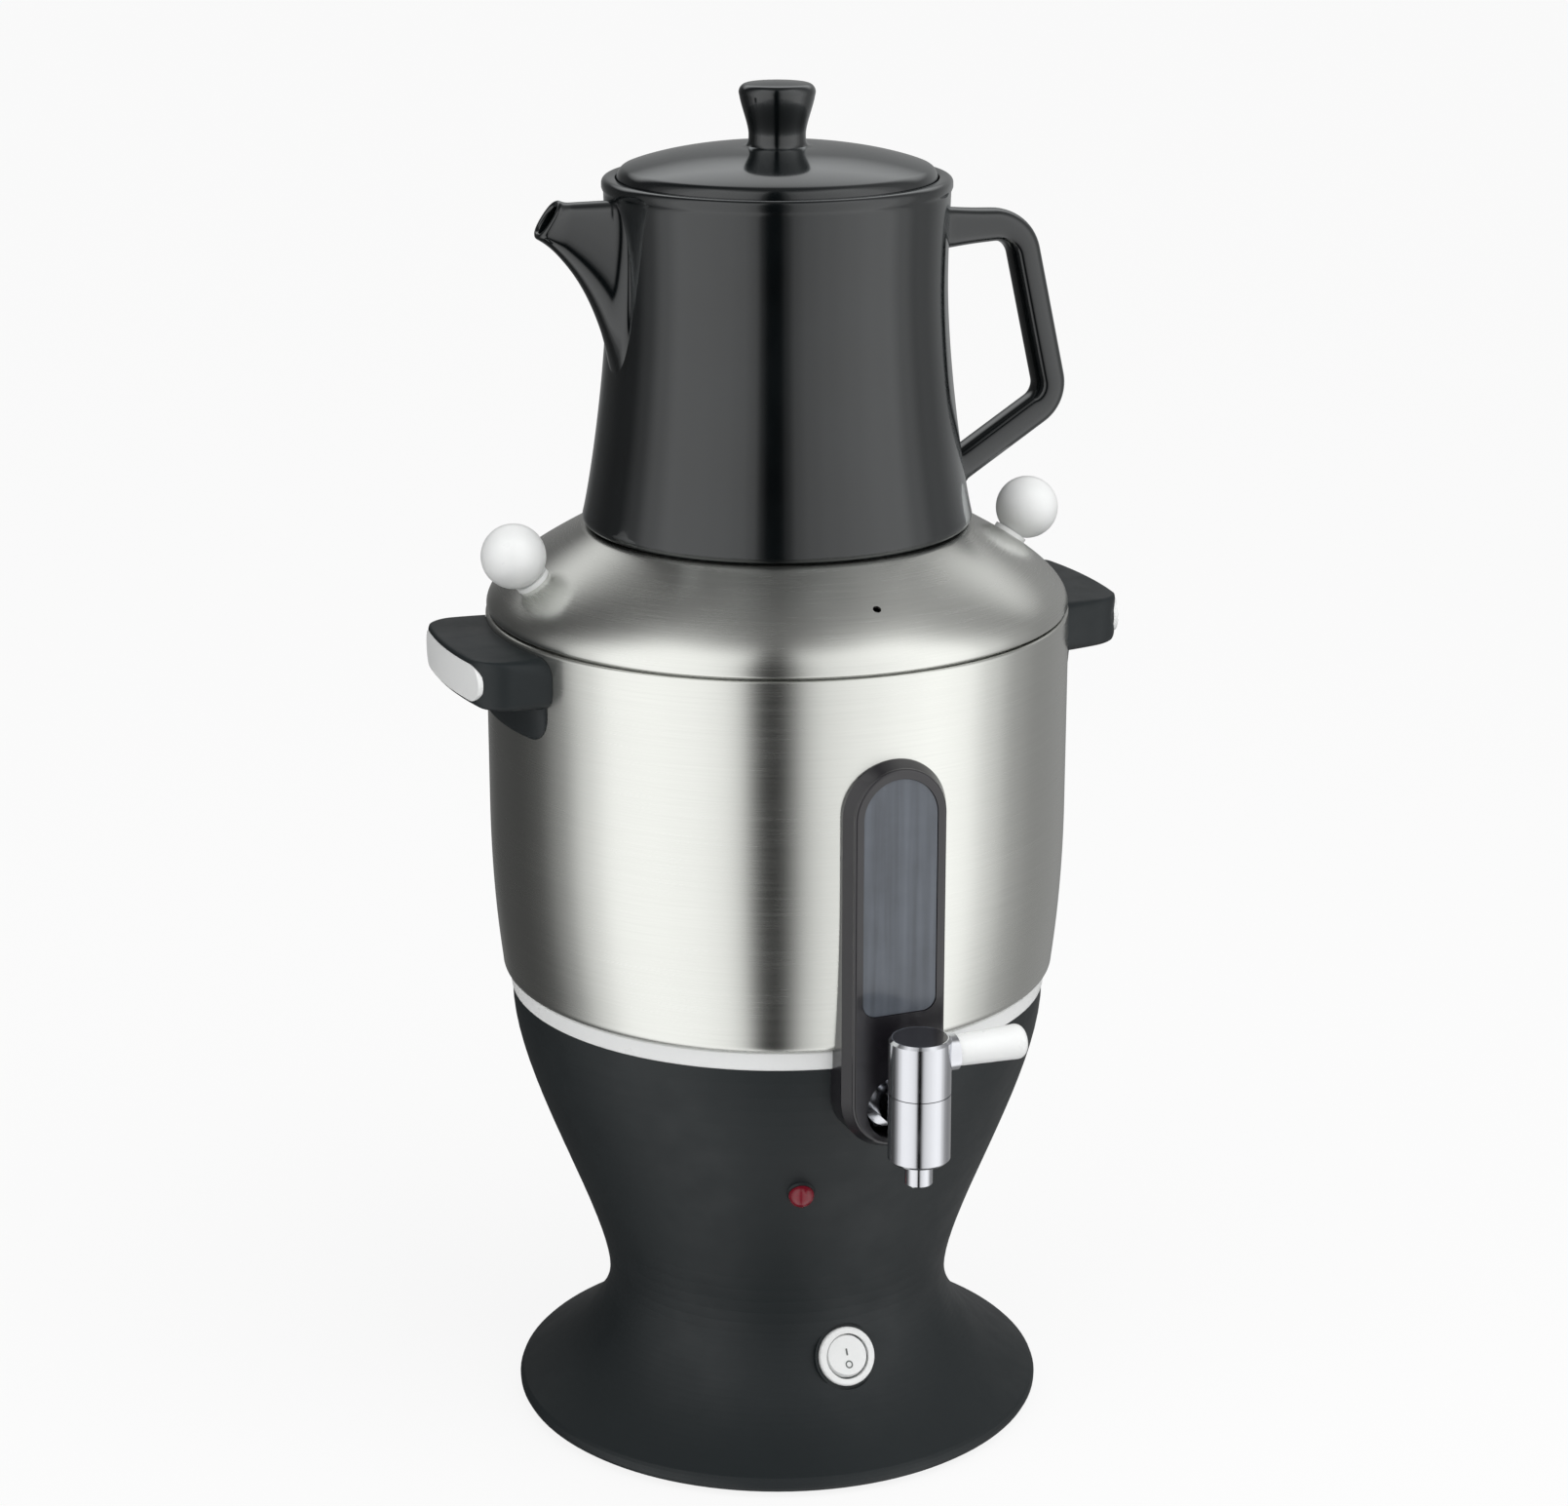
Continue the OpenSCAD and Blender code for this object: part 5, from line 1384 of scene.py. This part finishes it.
    def plate(self) -> Piece:
        """Lofts the plate under the grip, which follows the tank and thins towards its rounded foot.

        Returns:
            The plate.
        """
        rings = []
        for k in range(self.plate_steps + 1):
            fall = 1 - math.cos(math.radians(90 * k / self.plate_steps))
            rise = (self.low - self.plate_low + self.plate_rise) * fall
            short = max(self.plate_round - rise, 0.0)
            half = self.plate_half_width - self.plate_round + math.sqrt(self.plate_round**2 - short**2)
            swell = math.sqrt(1 - max(1 - rise / self.plate_swell, 0.0) ** 2)
            depth = (self.plate_tip + (self.plate_thickness - self.plate_tip) * fall) * swell
            outer, inner = [], []
            for j in range(-self.plate_half_steps, self.plate_half_steps + 1):
                y = half * math.sin(j / self.plate_half_steps * math.pi / 2)
                thick = depth * math.sqrt(max(1 - abs(y / half) ** self.plate_power, 0.0)) + self.gap
                for row, radius in ((outer, self.seat_radius + thick), (inner, self.seat_radius)):
                    row.append((math.sqrt(radius**2 - y**2), y, self.plate_low + rise))
            rings.append(self.turned_in(outer + inner[::-1]))
        return lofted("handle_plate", rings)

    def build(self) -> None:
        """Makes the handle."""
        hand = "right" if self.side > 0 else "left"
        grip, plate = self.grip(), self.plate()
        grip.name, plate.name = f"grip_{hand}", f"handle_plate_{hand}"
        dressed(grip, Body.HOUSING, Slot.BLACK_MOULDING, f"handle_{hand}")
        dressed(plate, Body.HOUSING, Slot.BLACK_MOULDING)


@dataclass
class LampDome:
    """Red dome of the lamp, on a stem in its holder, square to the pedestal's side."""

    pedestal: tuple[Point, ...] = ((64.5, 48.0), (64.5, 74.54), (100.69, 133.8), (99.5, 167.0))
    share: float = 0.57
    probe: float = 0.01
    turn: float = -16.6
    radius: float = 4.6
    height: float = 4.4
    bevel: float = 0.15
    dome_steps: int = 14
    round_steps: int = 64
    seat: float = 1.02
    stem_radius: float = 2.98
    stem_depth: float = 4.0

    def place(self) -> Matrix:
        """Finds where the dome sits.

        Returns:
            Its place, with the height axis out of the pedestal's side.
        """
        centre = curve_point(self.pedestal, self.share)
        before, after = (curve_point(self.pedestal, self.share + side * self.probe) for side in (-1, 1))
        length = math.dist(before, after)
        out = ((after[1] - before[1]) / length, (before[0] - after[0]) / length)
        spot = Matrix.Translation((centre[0] + self.seat * out[0], 0.0, centre[1] + self.seat * out[1]))
        lean = Matrix.Rotation(math.atan2(*out), 4, "Y")
        return Matrix.Rotation(math.radians(self.turn - 90), 4, "Z") @ spot @ lean

    def build(self) -> None:
        """Makes the dome."""
        stem, depth = self.stem_radius, self.stem_depth
        section = [(0.0, -depth), (stem, -depth), (stem, 0.0), (self.radius - self.bevel, 0.0)]
        for k in range(self.dome_steps):
            across, up = circle_point((0.0, 0.0), 1.0, 90 * k / self.dome_steps)
            section.append((self.radius * across, self.bevel + (self.height - self.bevel) * up))
        dome = turned("lamp_dome", section + [(0.0, self.height)], self.round_steps, self.place())
        dressed(dome, Body.HOUSING, Slot.RED_LENS, "lamp_lens")


@dataclass
class SwitchMarks:
    """On and off marks printed on the rocker: a bar over a ring."""

    lean: float = 21.7
    probe: float = 0.03
    bar_half_width: float = 0.33
    bar_half_height: float = 1.25
    bar_core: Point = (0.05, 0.8)
    ring_radius: float = 1.45
    ring_width: float = 0.5
    ring_steps: int = 32
    bar_up: float = 1.5
    ring_up: float = -3.1
    proud: float = 0.05
    thick_share: float = 0.8
    ink: Finish = Moulding("grey_ink", (0.11, 0.12, 0.115), 0.5, grain=0.3, grain_depth=0.002)

    def on_face(self, x: float, y: float) -> Vector:
        """Drops a flat place of a mark onto the rocker.

        Args:
            x: Distance from the rocker's middle to the right in millimetres.
            y: Distance from its middle up its face.

        Returns:
            The place, a little proud of the face.
        """
        low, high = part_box("switch_rocker")
        sine, cosine = math.sin(math.radians(self.lean)), math.cos(math.radians(self.lean))
        out, up = Vector((0.0, -cosine, sine)), Vector((0.0, sine, cosine))
        start = (low + high) / 2 + (Vector((x, 0.0, 0.0)) + up * y) * MM + out * self.probe
        hit, place, normal, _ = frame["nodes"]["switch_rocker"].ray_cast(start, -out)
        if not hit:
            raise ValueError("a switch mark misses the rocker")
        return place + normal * self.proud * MM

    def band(self, name: str, outer: Sequence[Point], inner: Sequence[Point], ink: Material) -> None:
        """Makes a closed band between two loops.

        Args:
            name: Name of the mark.
            outer: The outer loop in millimetres.
            inner: The inner loop, with as many points.
            ink: Material of the mark.
        """
        count = len(outer)
        after = [(i + 1) % count for i in range(count)]
        mesh = bpy.data.meshes.new(name)
        mesh.from_pydata([self.on_face(*p) for p in (*outer, *inner)], [],
                         [(i, j, count + j, count + i) for i, j in enumerate(after)])
        mark = added(name, mesh)
        thick = mark.modifiers.new("ink", "SOLIDIFY")
        thick.thickness = self.proud * self.thick_share * MM
        thick.offset = 0.0
        mesh.materials.append(ink)
        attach(mark, Body.ROCKER.value)
        LOG.info("made %s", name)

    def build(self) -> None:
        """Lays the marks on the rocker's face."""
        ink = self.ink.build()
        radii = (self.ring_radius, self.ring_radius - self.ring_width)
        turns = [360 * k / self.ring_steps for k in range(self.ring_steps)]
        self.band("off_mark", *([circle_point((0.0, self.ring_up), r, t) for t in turns] for r in radii), ink)
        w, h = self.bar_half_width, self.bar_half_height
        corners = [(-w, -h), (w, -h), (w, h), (-w, h)]
        scales = ((1.0, 1.0), self.bar_core)
        self.band("on_mark", *([(x * a, self.bar_up + y * b) for x, y in corners] for a, b in scales), ink)


@dataclass
class Studio:
    """White sweep, a ring of soft light with a dark gap behind the camera, and the camera itself."""

    turn: float = -22.3
    distance: float = 1.3
    height: float = 0.65183
    pitch: float = 17.0384
    lens: float = 84.206
    shift: float = 0.00435
    sensor: float = 36.0
    floor_half: float = 9.0
    floor_height: float = -0.0006
    floor_glow: float = 0.87
    paper: Colour = (0.9, 0.9, 0.9)
    white: Colour = (1.0, 1.0, 1.0)
    lamp_place: Spot = (0.3, 0.35, 1.25)
    lamp_aim: float = 0.3
    lamp_size: float = 0.8
    lamp_power: float = 5.0
    world_scale: float = 3.0
    ceiling: float = 0.16
    ceiling_range: Point = (0.86, 0.99)
    back_box: float = 0.95
    back_range: Point = (-0.5, -0.68)
    back_rise: Point = (0.3, 0.5)
    softboxes: tuple[Point, ...] = (
        (-180, 0.24), (-145, 0.08), (-122, 0.07), (-108, 0.1), (-94, 0.36), (-80, 0.95), (-66, 1.38),
        (-50, 1.4), (-34, 1.34), (-22, 1.22), (-14, 0.95), (-9.5, 0.25), (-6, 0.0), (2, 0.0), (6.5, 0.28),
        (12, 0.78), (20, 1.05), (34, 1.22), (50, 1.38), (64, 1.48), (78, 1.4), (92, 0.88), (106, 0.46),
        (122, 0.33), (150, 0.34), (180, 0.24),
    )

    def back(self) -> Vector:
        """Gives the level direction from the object to the camera."""
        return Vector((math.sin(math.radians(self.turn)), -math.cos(math.radians(self.turn)), 0.0))

    def right(self) -> Vector:
        """Gives the level direction to the right of the picture."""
        return Vector((-self.back().y, self.back().x, 0.0))

    def grey(self, level: float) -> Colour:
        """Gives the world's colour for a level of light."""
        return (level / self.world_scale,) * 3

    def camera(self) -> None:
        """Sets the camera at the photograph's angle."""
        data = bpy.data.cameras.new("studio_camera")
        data.sensor_fit = "HORIZONTAL"
        data.sensor_width = self.sensor
        data.lens = self.lens
        data.shift_x = self.shift
        camera = added("studio_camera", data)
        camera.location = Vector((0.0, AXIS_Y * MM, self.height)) + self.back() * self.distance
        camera.rotation_euler = (math.radians(90 - self.pitch), 0.0, math.radians(self.turn))
        bpy.context.scene.camera = camera

    def ring_light(self, tree: NodeTree, across: Socket, along: Socket) -> Socket:
        """Paints the soft boxes by their angle round the object.

        Args:
            tree: Node tree of the world.
            across: Share of the direction that points to the right of the picture.
            along: Share of the direction that points to the camera.

        Returns:
            The colour's socket.
        """
        angle = tree.math("ARCTAN2", across, along)
        ramp = tree.add("ShaderNodeValToRGB", tree.math("MULTIPLY_ADD", angle, 0.5 / math.pi, 0.5))
        ramp.color_ramp.interpolation = "EASE"
        stops = ramp.color_ramp.elements
        for k, (degrees, level) in enumerate(self.softboxes):
            place = degrees / 360 + 0.5
            stop = stops[k] if k < len(stops) else stops.new(place)
            stop.position = place
            stop.color = (*self.grey(level), 1.0)
        return ramp.outputs[0]

    def world(self) -> None:
        """Paints the light round the object, and plain white where the camera looks past it."""
        world = bpy.data.worlds.new("studio_world")
        bpy.context.scene.world = world
        tree = NodeTree(world)
        way = tree.add("ShaderNodeTexCoord").outputs["Generated"]
        across, along = (
            tree.add("ShaderNodeVectorMath", way, axis, operation="DOT_PRODUCT").outputs["Value"]
            for axis in (self.right(), self.back()))
        up = tree.add("ShaderNodeSeparateXYZ", way).outputs[2]
        light = self.ring_light(tree, across, along)
        light = tree.blend(tree.between(up, 0.0, 1.0, *self.ceiling_range), light, self.grey(self.ceiling))
        behind = tree.math("MULTIPLY", tree.between(along, 0.0, 1.0, *self.back_range),
                           tree.between(up, 0.0, 1.0, *self.back_rise))
        light = tree.blend(behind, light, self.grey(self.back_box))
        studio = tree.add("ShaderNodeBackground", light, self.world_scale)
        plain = tree.add("ShaderNodeBackground", self.white, 1.0)
        seen = tree.add("ShaderNodeLightPath").outputs["Is Camera Ray"]
        mix = tree.add("ShaderNodeMixShader", seen, studio.outputs[0], plain.outputs[0])
        tree.add("ShaderNodeOutputWorld", mix.outputs[0])

    def floor(self) -> None:
        """Lays a pale floor that keeps the object's shadow and stays out of reflections."""
        mesh = bpy.data.meshes.new("floor")
        half = self.floor_half
        corners = [(-half, -half, 0), (half, -half, 0), (half, half, 0), (-half, half, 0)]
        mesh.from_pydata(corners, [], [(0, 1, 2, 3)])
        floor = added("floor", mesh)
        floor.location.z = self.floor_height
        material = bpy.data.materials.new("pale_floor")
        tree = NodeTree(material)
        path = tree.add("ShaderNodeLightPath").outputs
        lit = tree.math("MULTIPLY", path["Is Camera Ray"], self.floor_glow)
        paper = tree.add("ShaderNodeBsdfDiffuse", self.paper)
        glow = tree.add("ShaderNodeEmission")
        seen = tree.add("ShaderNodeMixShader", lit, paper.outputs[0], glow.outputs[0])
        clear = tree.add("ShaderNodeBsdfTransparent")
        passed = tree.add("ShaderNodeMixShader", path["Is Glossy Ray"], seen.outputs[0], clear.outputs[0])
        tree.add("ShaderNodeOutputMaterial", passed.outputs[0])
        mesh.materials.append(material)

    def lamp(self) -> None:
        """Hangs a soft lamp over the object, a little to the front and the right."""
        data = bpy.data.lights.new("overhead", "AREA")
        data.shape = "SQUARE"
        data.size = self.lamp_size
        data.energy = self.lamp_power
        lamp = added("overhead", data)
        right, back, up = self.lamp_place
        lamp.location = self.back() * back + self.right() * right + Vector((0, AXIS_Y * MM, up))
        aim = Vector((0, AXIS_Y * MM, self.lamp_aim)) - lamp.location
        lamp.rotation_euler = aim.to_track_quat("-Z", "Y").to_euler()
        lamp.visible_camera = False
        lamp.visible_glossy = False

    def build(self) -> None:
        """Sets up the camera, the light and the floor."""
        self.camera()
        self.world()
        self.floor()
        self.lamp()
        bpy.context.scene.view_settings.view_transform = "Standard"
        LOG.info("set up the studio")


def main() -> None:
    """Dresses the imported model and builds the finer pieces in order."""
    logging.basicConfig(level=logging.INFO)
    Studio().build()
    SHELF.dress_nodes()
    for assembly in (Tank(), SteamLid(), Teapot(), TeapotLid(), SideHandle(-1.0), SideHandle(1.0), LampDome(),
                     SwitchMarks()):
        assembly.build()


if __name__ == "__main__":
    main()
